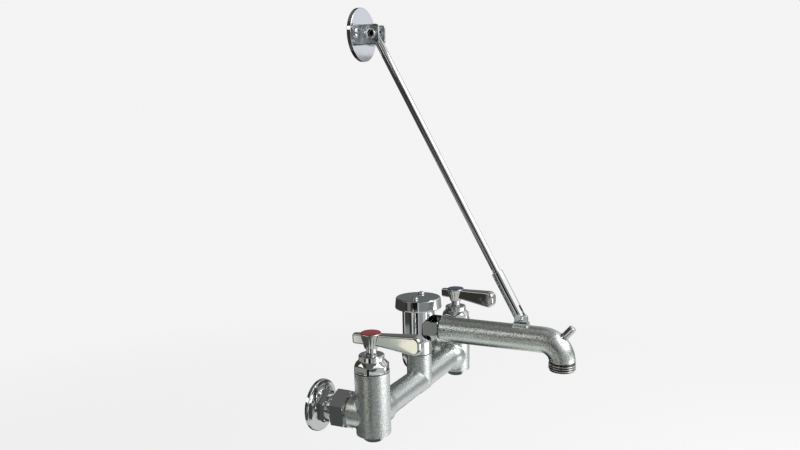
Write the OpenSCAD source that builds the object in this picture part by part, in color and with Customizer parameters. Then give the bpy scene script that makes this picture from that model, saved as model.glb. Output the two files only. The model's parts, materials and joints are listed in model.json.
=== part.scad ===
// Commercial wall faucet on two inlets, with a vacuum breaker, a hose thread
// spout, a pail hook and a wall brace. Millimetres. The origin lies midway
// between the inlets on the wall, X runs from hot to cold, the spout points
// to -Y and Z is up.

/* [Inlets] */
// Distance between the two inlet centres
inlet_centres = 203.2; // [180:0.1:254]
// Distance from the wall to the valve axes
wall_to_valve = 60; // [58:0.5:75]
// Diameter of the round wall flanges
flange_d = 50.8; // [46:0.1:60]
// Thickness of a wall flange at its rim
flange_rim = 4; // [3:0.1:5]
// Distance from the wall to the face of the flange's hexagon
hub_face = 14.5; // [13:0.1:18]
// Width across the flats of the flange's hexagon
hub_flats = 30; // [29:0.1:34]
// Radius of the female pipe thread in the wall flange
pipe_hole_r = 9.75; // [8.5:0.05:10.5]
// Depth of the female pipe thread
pipe_hole_depth = 13; // [10:0.5:14]
// Radius of the threaded tail of the wall flange
tail_r = 13.25; // [12.5:0.05:13.8]
// Length of tail thread seen between the hexagon and the coupling nut
tail_show = 8; // [5:0.5:12]
// Width across the flats of the coupling nuts
coupling_flats = 35; // [34:0.1:40]
// Length of the coupling nuts
coupling_len = 14.3; // [12:0.1:16]
// Length of arm thread seen between the coupling nut and the casting
arm_show = 2.2; // [1.5:0.1:5]

/* [Casting] */
// Diameter of the two valve barrels
barrel_d = 33; // [31:0.1:38]
// Height of a barrel's top above the inlet axis
barrel_top = 42; // [40:0.5:52]
// Depth of a barrel's bottom below the inlet axis
barrel_drop = 19.2; // [18:0.1:24]
// Diameter of the cast inlet arms
arm_d = 32.4; // [31.5:0.1:36]
// Diameter of the bar that joins the valves
bar_d = 25.4; // [24:0.1:26]
// Diameter of the riser in the middle
riser_d = 26.6; // [25:0.1:30]
// Height of the riser's top above the inlet axis
riser_top = 30; // [26:0.5:36]

/* [Valves] */
// Width across the flats of the bonnets
bonnet_flats = 30; // [28:0.1:34]
// Height of a bonnet's hexagon at its corners
bonnet_hex_h = 6; // [4:0.1:9]
// Radius of the round neck of a bonnet
neck_r = 12; // [10:0.1:12.8]
// Height of a bonnet's top above the barrel
neck_top = 16.7; // [15:0.1:20]
// Radius of the turning stems
stem_r = 5; // [4.6:0.05:5.4]
// Stem seen between the bonnet and the lever's hub
stem_show = 5.8; // [4:0.1:8]
// Height of the lever's hub
hub_h = 14.3; // [13:0.1:18]
// Radius of the hub at its foot
hub_foot_r = 6.4; // [6.2:0.1:7.5]
// Radius of the hub at its top
hub_top_r = 9.75; // [9.2:0.05:11]
// Number of flutes round the hub
hub_flutes = 16; // [12:2:20]
// Length of a lever from the stem's axis
lever_len = 50.8; // [44:0.2:64]
// Length of the short tail behind the hub
lever_tail = 17.5; // [14:0.5:22]
// Thickness of a lever at its wide end
lever_end_w = 13.5; // [11:0.1:15]
// Height of a lever's flat side at its wide end
lever_end_h = 19; // [16:0.1:22]
// Angle of the closed hot lever from straight ahead, towards the middle
hot_lever_rest = 10; // [0:1:20]
// Angle of the closed cold lever from straight ahead, towards the middle
cold_lever_rest = 1; // [0:1:20]
// Width across the flats of the bottom plugs
plug_flats = 17; // [16:0.1:17.8]
// Height of a bottom plug's hexagon
plug_h = 6; // [4:0.1:8]

/* [Vacuum breaker] */
// Diameter of the breaker's body
breaker_d = 34; // [32.5:0.1:38]
// Diameter of the collar that meets the riser
collar_d = 26.8; // [25:0.1:28]
// Height of the bell cap's top above the inlet axis
cap_top = 91.2; // [89.8:0.1:98]
// Diameter of the bell cap at its rim
cap_d = 48.8; // [46.5:0.1:54]
// Height of the bell cap
cap_h = 11.5; // [10:0.1:13]
// Distance of the cap screws from the middle
cap_screw_x = 13; // [12.7:0.1:13.2]
// Angle of the line through the cap screws from the line through the valves
cap_turn = 11; // [0:1:30]
// Radius of the air vent under the cap
vent_r = 5.5; // [4:0.1:6]
// Height that the float lifts
float_lift = 4.2; // [2:0.1:4.6]

/* [Spout] */
// Height of the spout's axis above the inlet axis
spout_z = 59.3; // [58.5:0.1:60.5]
// Distance from the wall to the outlet's axis
outlet_out = 215.3; // [205:0.1:260]
// Radius of the spout's centre line in the bend
bend_r = 20; // [18.5:0.1:26]
// Outer radius of the spout at the bend
spout_r = 13; // [12.8:0.1:14.5]
// Outer radius of the spout at the nut
spout_root_r = 13.2; // [12.4:0.1:13.8]
// Thickness of the spout's wall
spout_wall = 3; // [2.2:0.1:3.4]
// Width across the flats of the spout nut
spout_nut_flats = 24; // [23.6:0.1:28]
// Length of the spout nut
spout_nut_len = 16.2; // [14:0.1:18]
// Major diameter of the hose thread
hose_d = 27; // [26.4:0.1:27.4]
// Length of the hose thread
hose_len = 8.8; // [7:0.1:14]
// Diameter of the pail hook peg
hook_d = 7.8; // [6.8:0.1:9]
// Length of the peg beyond the bend
hook_len = 13.2; // [9:0.1:16]
// Angle of the peg above the horizontal
hook_angle = 49.5; // [45:0.5:60]

/* [Wall brace] */
// Height of the brace's wall flange above the inlet axis
brace_top_z = 353.6; // [300:0.1:420]
// Distance from the wall to the bracket's pin
brace_top_out = 17; // [16:0.1:22]
// Distance from the lug's pin to the outlet's axis
lug_from_outlet = 44.4; // [36:0.1:60]
// Height of the lug's pin above the spout's axis
lug_pin_h = 21.7; // [21:0.1:24]
// Diameter of the brace rod
rod_d = 7.94; // [7:0.02:8.2]
// Outer diameter of the sleeve
sleeve_d = 11.5; // [10.8:0.05:13]
// Length of the sleeve above its pin
sleeve_len = 49; // [42:0.5:70]
// Distance from the lug's pin to the rod's foot in the sleeve
rod_foot = 24; // [23:0.5:27]
// Thickness of the lug's fin
fin_t = 5; // [4:0.1:5.4]
// Diameter of the brace's wall flange
brace_flange_d = 50.8; // [50.4:0.1:60]
// Thickness of the brace's wall flange
brace_flange_t = 4.5; // [4:0.1:6]
// Height of the bracket
bracket_h = 17.5; // [16:0.1:22]
// Distance of the flange screws from the middle
flange_screw_x = 18.5; // [16.5:0.1:19]

/* [Hidden] */
$fn = 96;

// Clearances
thread_gap = 0.05;
run_gap = 0.05;
rod_gap = 0.06;
side_gap = 0.1;
cut = 1;

// Which side a valve lies on
hot = -1;
cold = 1;

// Inlet stack, as distances from the wall
hub_len = 7.5;
hub_back = hub_face - hub_len;
coupling_back = hub_face + tail_show;
coupling_face = coupling_back + coupling_len;
coupling_lip = 2.3;
ring_t = 1.2;
ring_wire = 2.3;
ring_back = coupling_back + coupling_lip + side_gap;
groove_r = tail_r - 0.8;
tail_end = ring_back + ring_t + side_gap + 1.8;
washer_t = 1.4;
arm_end = tail_end + washer_t + 2 * thread_gap;
arm_back = coupling_face + arm_show;
arm_thread_r = tail_r + 1.75;
water_r = 7.5;
inlet_hex_turn = 34;

// Barrel stack, as heights from the inlet axis
barrel_r = barrel_d / 2;
barrel_round = 1.2;
riser_lap = 0.8;
chamber_r = 8;
chamber_floor = -barrel_drop + 5.5;
seat_z = 7;
seat_pocket = 3;
ring_chamber_z = seat_z + seat_pocket;
guide_z = barrel_top - 18;
shelf_z = guide_z + 4;
insert_r = 10;
thread_r = 12.5;
gasket_t = 0.8;
bonnet_z = barrel_top + gasket_t;
bonnet_turn = 17;
neck_z = barrel_top + neck_top;
hub_z = neck_z + stem_show;
hub_top_z = hub_z + hub_h;
plug_r = 7;
plug_washer_t = 0.6;

// Cartridge
seal_t = 2.6;
insert_z = seat_z + seal_t + side_gap;
disc_t = 2.45;
disc_r = insert_r - 3.1;
disc_z = insert_z + 2;
turning_z = disc_z + disc_t + run_gap;
foot_z = turning_z + disc_t + run_gap;
foot_t = 2.4;
foot_w = 3.2;
insert_shelf_t = 1.9;
insert_top = barrel_top + 4;
port_r = 1.9;
port_at = 3.6;

// Handle
square_w = 7;
square_h = 7.6;
pocket_r = hub_foot_r + 1.1;
pocket_floor = hub_top_z - 3.8;
button_lip = 0.1;

// Breaker stack
gasket_top = riser_top + gasket_t;
socket_r = 10.5;
socket_z = riser_top - 13;
breaker_r = breaker_d / 2;
shoulder_r = 4;
collar_top = riser_top + 14;
float_seat_z = spout_z + 10.7;
tube_r = 6.6;
tube_hole_r = 5.2;
ring_hole_r = breaker_r - 2.8;
ring_floor_z = spout_z - 9.3;
breaker_thread_r = breaker_r - 2.3;
breaker_top = cap_top - 9.2;
bonnet_skirt = 6;
thread_z = breaker_top - bonnet_skirt - 0.4;
vent_z = float_seat_z + 9.5;
boss_face = 9.8;
nut_pocket_r = 14.8;
pocket_wall = 1.8;
outlet_r = 7;
post_r = 3;
cap_plate = 2.5;
cap_under = cap_top - cap_plate;
cap_screw_r = 1.5;

// Spout stack, as distances from the valve plane
nipple_r = 10.45;
nipple_len = 9;
spout_gasket_t = 1.4;
nut_back = wall_to_valve + boss_face + 0.5;
nut_face = nut_back + spout_nut_len;
nipple_face = wall_to_valve + boss_face + nipple_len;
spout_collar_back = nipple_face + spout_gasket_t + 2 * thread_gap;
spout_collar_t = 1.8;
spout_neck_r = 7.9;
spout_root = nut_face + 1;
bend_y = outlet_out - bend_r;
outlet_top = spout_z - bend_r;
spigot_r = spout_r - 2.3;
spigot_h = 4.3;
hose_hole_r = spigot_r - 1.7;

// Brace
pad_top = spout_z + spout_r + 0.8;
lug_out = outlet_out - lug_from_outlet;
lug_plate = 1.7;
lug_ahead = 8.7;
lug_behind = 5;
lug_w = 12;
lug_pin_z = spout_z + lug_pin_h;
brace_pin_r = 2;
slot_depth = 10;
brace_rise = brace_top_z - lug_pin_z;
brace_run = lug_out - brace_top_out;
brace_len = norm([brace_run, brace_rise]);
brace_tilt = atan2(brace_run, brace_rise);
rod_r = rod_d / 2;
sleeve_r = sleeve_d / 2;
sleeve_end_r = lug_pin_z - pad_top - lug_plate - 0.6;
bracket_pin_r = 2.5;
bracket_t = 2;
ear_gap = 11;
eye_r = 5.2;
ear_ahead = 8;
ear_round = 3;
strap_round = 5;
pin_head_r = bracket_pin_r + 2.3;
pin_head_t = 1.4;
strap_half = brace_flange_d / 2 - 0.9;
flange_screw_r = 2.4;
flange_screw_foot = 0.6;
screw_seat = brace_flange_t + bracket_t;

// Points of an arc about (cx, cy) from angle a to angle b
function arc(cx, cy, r, a, b, n = 6) =
  [for (i = [0:n]) [cx + r * cos(a + (b - a) * i / n), cy + r * sin(a + (b - a) * i / n)]];

// Places a child at a valve's axis, or at an inlet with its z away from the wall
module at_valve(side) translate([side * inlet_centres / 2, -wall_to_valve, 0]) children();
module at_inlet(side) translate([side * inlet_centres / 2, 0, 0]) rotate([90, 0, 0]) children();
module at_riser() translate([0, -wall_to_valve, 0]) children();
module at_spout() translate([0, 0, spout_z]) rotate([90, 0, 0]) children();

// Places a child along the brace, its z from the lug's pin to the bracket's pin
module at_brace() translate([0, -lug_out, lug_pin_z]) rotate([-brace_tilt, 0, 0]) children();

// Round bar or ring between two heights
module rod(r, z0, z1) translate([0, 0, z0]) cylinder(r = r, h = z1 - z0);
module ring(r_in, r_out, z0, z1) difference() {
  rod(r_out, z0, z1);
  rod(r_in, z0 - cut, z1 + cut);
}

// Hexagon with its corners turned down at the ends that have a chamfer
module hexagon(flats, z0, z1, turn, low = 0, high = 0) {
  corner = flats / 2 / cos(30);
  intersection() {
    rotate([0, 0, turn]) translate([0, 0, z0]) cylinder(r = corner, h = z1 - z0, $fn = 6);
    rotate_extrude() polygon([
      [0, z0], [low > 0 ? corner - low : corner + 1, z0], [corner + 1, z0 + 0.6 * (low + 1)],
      [corner + 1, z1 - 0.6 * (high + 1)], [high > 0 ? corner - high : corner + 1, z1], [0, z1]
    ]);
  }
}

// Casting: barrels, arms, bar and riser in one piece
module barrel_outside() rotate_extrude() polygon(concat(
  [[0, -barrel_drop]],
  arc(barrel_r - barrel_round, barrel_round - barrel_drop, barrel_round, -90, 0),
  [[barrel_r, barrel_top - 0.6], [barrel_r - 0.6, barrel_top], [0, barrel_top]]
));

module barrel_inside() {
  rotate_extrude() polygon([
    [0, chamber_floor], [chamber_r, chamber_floor], [chamber_r, seat_z], [insert_r, seat_z],
    [insert_r, ring_chamber_z], [thread_r, ring_chamber_z], [thread_r, guide_z],
    [insert_r, guide_z], [insert_r, shelf_z], [thread_r, shelf_z],
    [thread_r, barrel_top + cut], [0, barrel_top + cut]
  ]);
  rod(plug_r + thread_gap, -barrel_drop - cut, chamber_floor + cut);
}

module arm_outside() rotate_extrude() polygon([
  [0, arm_end], [arm_thread_r - 0.8, arm_end], [arm_thread_r, arm_end + 0.8],
  [arm_thread_r, arm_back], [arm_d / 2 - 0.8, arm_back], [arm_d / 2, arm_back + 0.8],
  [arm_d / 2, wall_to_valve], [0, wall_to_valve]
]);

// Flare where the bar meets a barrel, along z from the barrel's axis
module bar_flare() {
  reach = barrel_r + 9;
  flare_r = 9;
  rotate_extrude() polygon(concat(
    [[0, 0], [bar_d / 2 + 2.6, 0]],
    arc(bar_d / 2 + flare_r, reach, flare_r, -135, -180, 5),
    [[0, reach]]
  ));
}

// Slanted way from the bar's bore up to the ring chamber of a barrel
module slant_way(side) translate([-side * 21, 0, 1]) rotate([0, side * atan2(12, 16), 0])
  cylinder(r = 4, h = 20);

// The riser laps round the front of the bar and ends at its underside
module riser_outside() intersection() {
  rod(riser_d / 2, -bar_d, riser_top);
  union() {
    rotate([0, 90, 0]) cylinder(r = bar_d / 2 + riser_lap, h = 2 * riser_d, center = true);
    translate([-riser_d, -riser_d, 0]) cube([2 * riser_d, 2 * riser_d, riser_top + cut]);
  }
}

module valve_body() color([0.62, 0.63, 0.62]) {
  bar_hole_half = inlet_centres / 2 - 18;
  difference() {
    union() {
      for (side = [hot, cold]) {
        at_valve(side) barrel_outside();
        at_inlet(side) arm_outside();
        at_valve(side) rotate([0, -side * 90, 0]) bar_flare();
      }
      at_riser() rotate([0, 90, 0]) cylinder(d = bar_d, h = inlet_centres, center = true);
      at_riser() riser_outside();
    }
    for (side = [hot, cold]) {
      at_valve(side) barrel_inside();
      at_inlet(side) rod(water_r, arm_end - cut, wall_to_valve);
      at_valve(side) slant_way(side);
    }
    at_riser() rotate([0, 90, 0]) cylinder(r = 7, h = 2 * bar_hole_half, center = true);
    at_riser() rod(8, 0, socket_z + cut);
    at_riser() rod(socket_r, socket_z, riser_top + cut);
  }
}

// Inlet pieces
module wall_flange() difference() {
  slope_out = flange_d / 2 - 3;
  slope_in = hub_flats / 2 - 1;
  union() {
    rotate_extrude() polygon(concat(
      [[0, 0], [flange_d / 2 - 0.6, 0], [flange_d / 2, 0.6]],
      arc(flange_d / 2 - 1.2, flange_rim - 1.2, 1.2, 0, 90, 4),
      [[slope_out, flange_rim]],
      [for (i = [1:6]) let (s = i / 6)
        [slope_out - (slope_out - slope_in) * s, flange_rim + (hub_back + 0.4 - flange_rim) * s * s]],
      [[0, hub_back + 0.4]]
    ));
    hexagon(hub_flats, hub_back - 1, hub_face, inlet_hex_turn, high = 1.2);
    rod(tail_r, hub_face - cut, tail_end);
  }
  rod(pipe_hole_r, -cut, pipe_hole_depth);
  rod(water_r, 0, tail_end + cut);
  ring(groove_r, tail_r + cut, ring_back - side_gap, ring_back + ring_t + side_gap);
}

// Open spring ring in the tail's groove
module nut_ring() difference() {
  ring(groove_r + thread_gap, groove_r + ring_wire, ring_back, ring_back + ring_t);
  translate([0, 0, ring_back - cut]) cube([20, 20, ring_t + 2 * cut]);
}

module coupling_nut() difference() {
  hexagon(coupling_flats, coupling_back, coupling_face, inlet_hex_turn, 1.4, 1.4);
  rod(tail_r + side_gap, coupling_back - cut, coupling_face);
  rod(arm_thread_r + thread_gap, coupling_back + coupling_lip, coupling_face + cut);
}

module inlet_washer()
  ring(water_r + 0.5, tail_r, tail_end + thread_gap, tail_end + thread_gap + washer_t);

// Valve pieces, on the valve's axis
module bottom_plug() {
  hexagon(plug_flats, -barrel_drop - plug_washer_t - plug_h, -barrel_drop - plug_washer_t, 8, 1.2, 0);
  rod(plug_r, -barrel_drop - plug_washer_t, chamber_floor + 2.5);
}
module plug_washer()
  ring(plug_r + side_gap, plug_r + 1.2, -barrel_drop - plug_washer_t, -barrel_drop);

module seat_seal() ring(5.3, insert_r - 2 * side_gap, seat_z, seat_z + seal_t);

module cartridge() difference() {
  rotate_extrude() polygon([
    [stem_r + 0.2, insert_z], [insert_r - side_gap, insert_z], [insert_r - side_gap, shelf_z],
    [thread_r - side_gap, shelf_z], [thread_r - side_gap, shelf_z + insert_shelf_t],
    [insert_r - 0.5, shelf_z + insert_shelf_t], [insert_r - 0.5, insert_top],
    [stem_r + run_gap, insert_top], [stem_r + run_gap, foot_z + 7.2],
    [disc_r + side_gap, foot_z + 7.2], [disc_r + side_gap, disc_z - run_gap],
    [stem_r + 0.2, disc_z - run_gap]
  ]);
  translate([-4, -insert_r - cut, foot_z + 0.3]) cube([8, 2 * insert_r + 2 * cut, 5.5]);
}

module fixed_disc() difference() {
  rod(disc_r, disc_z, disc_z + disc_t);
  for (a = [0, 180]) rotate([0, 0, a]) translate([port_at, 0, 0]) rod(port_r, disc_z - cut, disc_z + 3);
}

// The closed valve's turning disc has its ports a quarter turn away
module turning_disc() difference() {
  rod(disc_r, turning_z, turning_z + disc_t);
  for (a = [90, 270]) rotate([0, 0, a]) translate([port_at, 0, 0])
    rod(port_r, turning_z - cut, turning_z + 3);
  translate([-4.6, -0.8, turning_z + disc_t - 1]) cube([9.2, 1.6, 2]);
}

module stem() difference() {
  union() {
    intersection() {
      rod(disc_r - side_gap, foot_z, foot_z + foot_t);
      translate([-disc_r, -foot_w / 2, foot_z]) cube([2 * disc_r, foot_w, foot_t]);
    }
    translate([-4.5, -0.7, turning_z + disc_t - 0.9]) cube([9, 1.4, 2]);
    rod(stem_r, foot_z + foot_t - 0.5, hub_z - side_gap);
    translate([-square_w / 2, -square_w / 2, hub_z - cut]) cube([square_w, square_w, cut + square_h]);
  }
  rod(2 + thread_gap, hub_z - 2, hub_z + square_h + cut);
}

module bonnet_gasket() ring(thread_r + side_gap, barrel_r - 0.5, barrel_top, bonnet_z);

module bonnet() {
  hex_corner = bonnet_flats / 2 / cos(30);
  dome_r = barrel_r + 0.2;
  corner_z = bonnet_z + bonnet_hex_h;
  dome_z = corner_z + (dome_r - neck_r);
  difference() {
    union() {
      intersection() {
        rotate([0, 0, bonnet_turn]) translate([0, 0, bonnet_z])
          cylinder(r = hex_corner, h = dome_z - bonnet_z, $fn = 6);
        rotate_extrude() polygon([
          [0, bonnet_z], [dome_r, bonnet_z], [dome_r, corner_z], [neck_r, dome_z], [0, dome_z]
        ]);
      }
      rod(barrel_r, bonnet_z, bonnet_z + 1.2);
      rotate_extrude() polygon([
        [0, bonnet_z], [neck_r, bonnet_z], [neck_r, neck_z - 1], [neck_r - 1, neck_z],
        [stem_r + 2, neck_z], [stem_r + 1.4, neck_z - 0.6], [0, neck_z - 0.6]
      ]);
      rod(thread_r - thread_gap, shelf_z + insert_shelf_t + side_gap, bonnet_z + cut);
    }
    rod(insert_r - 0.4, shelf_z, insert_top + 0.5);
    rod(stem_r + run_gap, shelf_z, neck_z + cut);
  }
}

// Lever: a fluted hub with a blade that grows towards its end
module lever_hub() {
  slope = atan2(hub_top_r - hub_foot_r, hub_h);
  flute_r = 1.25;
  difference() {
    rotate_extrude() polygon([
      [0, hub_z], [hub_foot_r - 0.6, hub_z], [hub_foot_r, hub_z + 0.6],
      [hub_top_r, hub_top_z - 0.8], [hub_top_r, hub_top_z], [0, hub_top_z]
    ]);
    for (i = [0:hub_flutes - 1]) rotate([0, 0, (i + 0.5) * 360 / hub_flutes])
      translate([hub_foot_r + 0.8, 0, hub_z]) rotate([0, slope, 0])
        translate([0, 0, -3]) cylinder(r = flute_r, h = hub_h + 0.6);
  }
}

module lever_blade() {
  top = hub_top_z + 0.1;
  end_u = lever_len;
  end_low = top - lever_end_h;
  half_end = lever_end_w / 2;
  intersection() {
    rotate([90, 0, -90]) linear_extrude(height = 2 * lever_end_w, center = true) polygon(concat(
      arc(-lever_tail + 2, top - 2.6, 2, 90, 180, 4),
      arc(-lever_tail + 2.4, top - 8, 2.4, 180, 262, 4),
      [[-6, top - 11], [8, top - 11.6]],
      arc(end_u - 6, end_low + 5, 5, 258, 350, 6),
      arc(end_u - 6, top - 5.5, 5.5, 10, 90, 6)
    ));
    translate([0, 0, end_low - cut]) linear_extrude(height = lever_end_h + 3) polygon(concat(
      [[-3.4, lever_tail - 3], [-2.6, lever_tail], [2.6, lever_tail], [3.4, lever_tail - 3], [4, 0]],
      [for (p = arc(0, 0, half_end, 0, -180, 12)) [p[0], p[1] * 0.9 - (end_u - half_end * 0.9)]],
      [[-4, 0]]
    ));
  }
}

module lever() difference() {
  union() {
    lever_hub();
    difference() {
      lever_blade();
      rod(hub_foot_r - 1, 0, hub_top_z + cut);
    }
  }
  rod(pocket_r, pocket_floor, hub_top_z + cut);
  rod(2.2, hub_z, hub_top_z);
  translate([-square_w / 2 - thread_gap, -square_w / 2 - thread_gap, hub_z - cut])
    cube([square_w + 2 * thread_gap, square_w + 2 * thread_gap, square_h + cut + 0.2]);
}

module handle_screw() difference() {
  union() {
    rod(2, hub_z - 1, pocket_floor + 0.5);
    rotate_extrude() polygon([
      [0, pocket_floor], [3.6, pocket_floor], [3.6, pocket_floor + 1.2],
      [2.8, pocket_floor + 2], [0, pocket_floor + 2.2]
    ]);
  }
  translate([-4, -0.45, pocket_floor + 1.2]) cube([8, 0.9, 2]);
}

module index_button() rotate_extrude() polygon([
  [0, hub_top_z + button_lip], [pocket_r - 1.6, hub_top_z + button_lip],
  [pocket_r - 1.6, pocket_floor + 0.6], [pocket_r - side_gap, pocket_floor + 0.6],
  [pocket_r - side_gap, hub_top_z + button_lip], [hub_top_r - 0.2, hub_top_z + button_lip],
  [hub_top_r - 0.2, hub_top_z + 0.6], [hub_top_r - 0.8, hub_top_z + 1], [0, hub_top_z + 1.25]
]);

// The closed levers turn a little towards the middle
module at_handle(side) at_valve(side)
  rotate([0, 0, side == hot ? hot_lever_rest : -cold_lever_rest]) children();

// Vacuum breaker, on the riser's axis
module at_cap_screws() rotate([0, 0, cap_turn])
  for (s = [-1, 1]) translate([s * cap_screw_x, 0, 0]) children();

module breaker_gasket()
  ring(nipple_r + side_gap, collar_d / 2 - 0.4, riser_top, gasket_top);

module breaker_outside() difference() {
  rotate_extrude() polygon(concat(
    [[0, gasket_top], [collar_d / 2, gasket_top], [collar_d / 2, collar_top]],
    arc(breaker_r - shoulder_r, collar_top + shoulder_r, shoulder_r, -80, 0, 5),
    [[breaker_r, breaker_top], [0, breaker_top]]
  ));
  translate([0, 0, spout_z]) rotate([90, 0, 0]) rod(nut_pocket_r, boss_face, breaker_d);
}

// Room round the float's tube, kept back from the round pocket of the nut
module breaker_chamber() difference() {
  rotate_extrude() polygon([
    [tube_r, ring_floor_z], [ring_hole_r, ring_floor_z], [ring_hole_r, thread_z],
    [breaker_thread_r, thread_z], [breaker_thread_r, breaker_top + cut], [0, breaker_top + cut],
    [0, float_seat_z], [tube_r, float_seat_z]
  ]);
  translate([-breaker_d, pocket_wall - boss_face - breaker_d, ring_floor_z - cut])
    cube([2 * breaker_d, breaker_d, spout_z + nut_pocket_r + 1.1 - ring_floor_z + cut]);
}

module breaker_body() color([0.75, 0.76, 0.78]) at_riser() difference() {
  union() {
    breaker_outside();
    rod(nipple_r, socket_z + cut, gasket_top + cut);
    translate([0, 0, spout_z]) rotate([90, 0, 0]) rod(nipple_r, boss_face - cut, boss_face + nipple_len);
  }
  rod(tube_hole_r, socket_z, float_seat_z + cut);
  breaker_chamber();
  translate([0, 0, spout_z]) rotate([90, 0, 0]) rod(outlet_r, tube_r + 0.1, boss_face + nipple_len + cut);
}

module breaker_float() color([0.85, 0.83, 0.76]) at_riser() {
  wing = tube_hole_r - 0.12;
  rod(tube_r + 1, float_seat_z + 0.2, float_seat_z + 3.4);
  rod(2, float_seat_z - 11, float_seat_z + 5.4);
  for (a = [0, 90]) rotate([0, 0, a]) translate([-wing, -0.8, float_seat_z - 11]) cube([2 * wing, 1.6, 11.5]);
}

module float_seal() color([0.1, 0.1, 0.1]) at_riser()
  ring(2 + thread_gap, tube_r + 0.5, float_seat_z + 3.4, float_seat_z + 5);

module breaker_bonnet() color([0.75, 0.76, 0.78]) at_riser() difference() {
  union() {
    rotate_extrude() polygon([
      [vent_r, vent_z], [tube_r + 3, vent_z], [tube_r + 3, breaker_top - bonnet_skirt],
      [breaker_thread_r - thread_gap, breaker_top - bonnet_skirt],
      [breaker_thread_r - thread_gap, breaker_top],
      [breaker_r, breaker_top], [breaker_r, breaker_top + 2], [vent_r, breaker_top + 2]
    ]);
    at_cap_screws() rod(post_r, breaker_top + 1, cap_under);
  }
  at_cap_screws()
    rod(cap_screw_r + thread_gap, breaker_top - 3, cap_under + cut);
}

module breaker_cap() color([0.72, 0.74, 0.76]) at_riser() difference() {
  rotate_extrude() polygon([
    [0, cap_under], [cap_d / 2 - 2.8, cap_under], [cap_d / 2 - 1.8, cap_top - cap_h],
    [cap_d / 2 - 0.8, cap_top - cap_h], [cap_d / 2, cap_top - cap_h + 1], [cap_d / 2 - 0.9, cap_top - 1.3],
    [cap_d / 2 - 1.2, cap_top - 0.6], [cap_d / 2 - 1.9, cap_top], [0, cap_top]
  ]);
  at_cap_screws() rod(cap_screw_r + 0.2, cap_under - cut, cap_top + cut);
}

module cap_screws() color([0.8, 0.8, 0.8]) at_riser() at_cap_screws() difference() {
  rotate_extrude() polygon(concat(
    [[0, breaker_top - 2.5], [cap_screw_r, breaker_top - 2.5], [cap_screw_r, cap_top], [3.4, cap_top]],
    arc(0, cap_top + 0.4, 3.4, 0, 45, 3),
    [[0, cap_top + 3]]
  ));
  translate([-4, -0.4, cap_top + 2]) cube([8, 0.8, 2]);
}

// Spout pieces, along the spout's axis from the wall
module spout_gasket() color([0.12, 0.12, 0.12]) at_spout()
  ring(spout_neck_r - 1, nipple_r - 0.6, nipple_face + thread_gap, nipple_face + thread_gap + spout_gasket_t);

module spout_nut() color([0.8, 0.81, 0.82]) at_spout() difference() {
  hexagon(spout_nut_flats, nut_back, nut_face, 21, 1, 1);
  rod(spout_neck_r + side_gap, nut_back - cut, nut_face + cut);
  rod(nipple_r + thread_gap, nut_back - cut, spout_collar_back + spout_collar_t + thread_gap);
}

// The bend, with a tube of radius r, from the straight part down to the outlet
module bend(r) translate([0, -bend_y, outlet_top]) rotate([90, 0, -90])
  rotate_extrude(angle = 90) translate([bend_r, 0]) circle(r = r);

module spout() color([0.6, 0.61, 0.6]) {
  bore_r = spout_r - spout_wall;
  bore_back = spout_root + 3;
  neck_bore_r = spout_neck_r - 1.9;
  difference() {
    union() {
      at_spout() translate([0, 0, spout_root])
        cylinder(r1 = spout_root_r, r2 = spout_r, h = bend_y - spout_root);
      bend(spout_r);
      at_spout() rod(spout_neck_r, spout_collar_back, spout_root + cut);
      at_spout() rod(nipple_r - 0.5, spout_collar_back, spout_collar_back + spout_collar_t);
      translate([-lug_w / 2 - 0.6, -lug_out - lug_ahead - 0.6, spout_z + spout_r - 5])
        cube([lug_w + 1.2, lug_ahead + lug_behind + 1.2, pad_top - spout_z - spout_r + 5]);
    }
    at_spout() rod(bore_r, bore_back, bend_y);
    bend(bore_r);
    at_spout() rod(neck_bore_r, spout_collar_back - cut, bore_back + cut);
    translate([0, -outlet_out, 0]) rod(spigot_r + thread_gap, outlet_top - cut, outlet_top + spigot_h + 0.2);
    hook_place() rod(hook_d / 2 - 0.9 + thread_gap, bend_r + spout_r - 2, bend_r + spout_r + 2);
    translate([0, -lug_out - 3, 0]) rod(2.5 + thread_gap, pad_top - 3.4, pad_top + cut);
  }
}

// Along the peg, from the centre of the bend
module hook_place() translate([0, -bend_y, outlet_top]) rotate([90 - hook_angle, 0, 0]) children();

module hose_outlet() color([0.8, 0.81, 0.82]) translate([0, -outlet_out, 0])
  rotate_extrude() polygon([
    [hose_hole_r, outlet_top - hose_len], [hose_d / 2 - 0.8, outlet_top - hose_len],
    [hose_d / 2, outlet_top - hose_len + 0.8], [hose_d / 2, outlet_top],
    [spigot_r, outlet_top], [spigot_r, outlet_top + spigot_h], [hose_hole_r, outlet_top + spigot_h]
  ]);

module pail_hook() color([0.8, 0.81, 0.82]) hook_place() {
  seat = bend_r + spout_r;
  tip = seat + hook_len;
  rod(hook_d / 2 - 0.9, seat - 2 + thread_gap, seat + cut);
  difference() {
    rotate_extrude() polygon([
      [0, seat - 2.5], [hook_d / 2, seat - 2.5], [hook_d / 2, tip - 1], [hook_d / 2 - 0.3, tip - 0.4],
      [hook_d / 2 - 1, tip], [0, tip]
    ]);
    rotate([hook_angle - 90, 0, 0]) translate([0, bend_y, -outlet_top]) bend(spout_r + thread_gap);
  }
}

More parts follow.
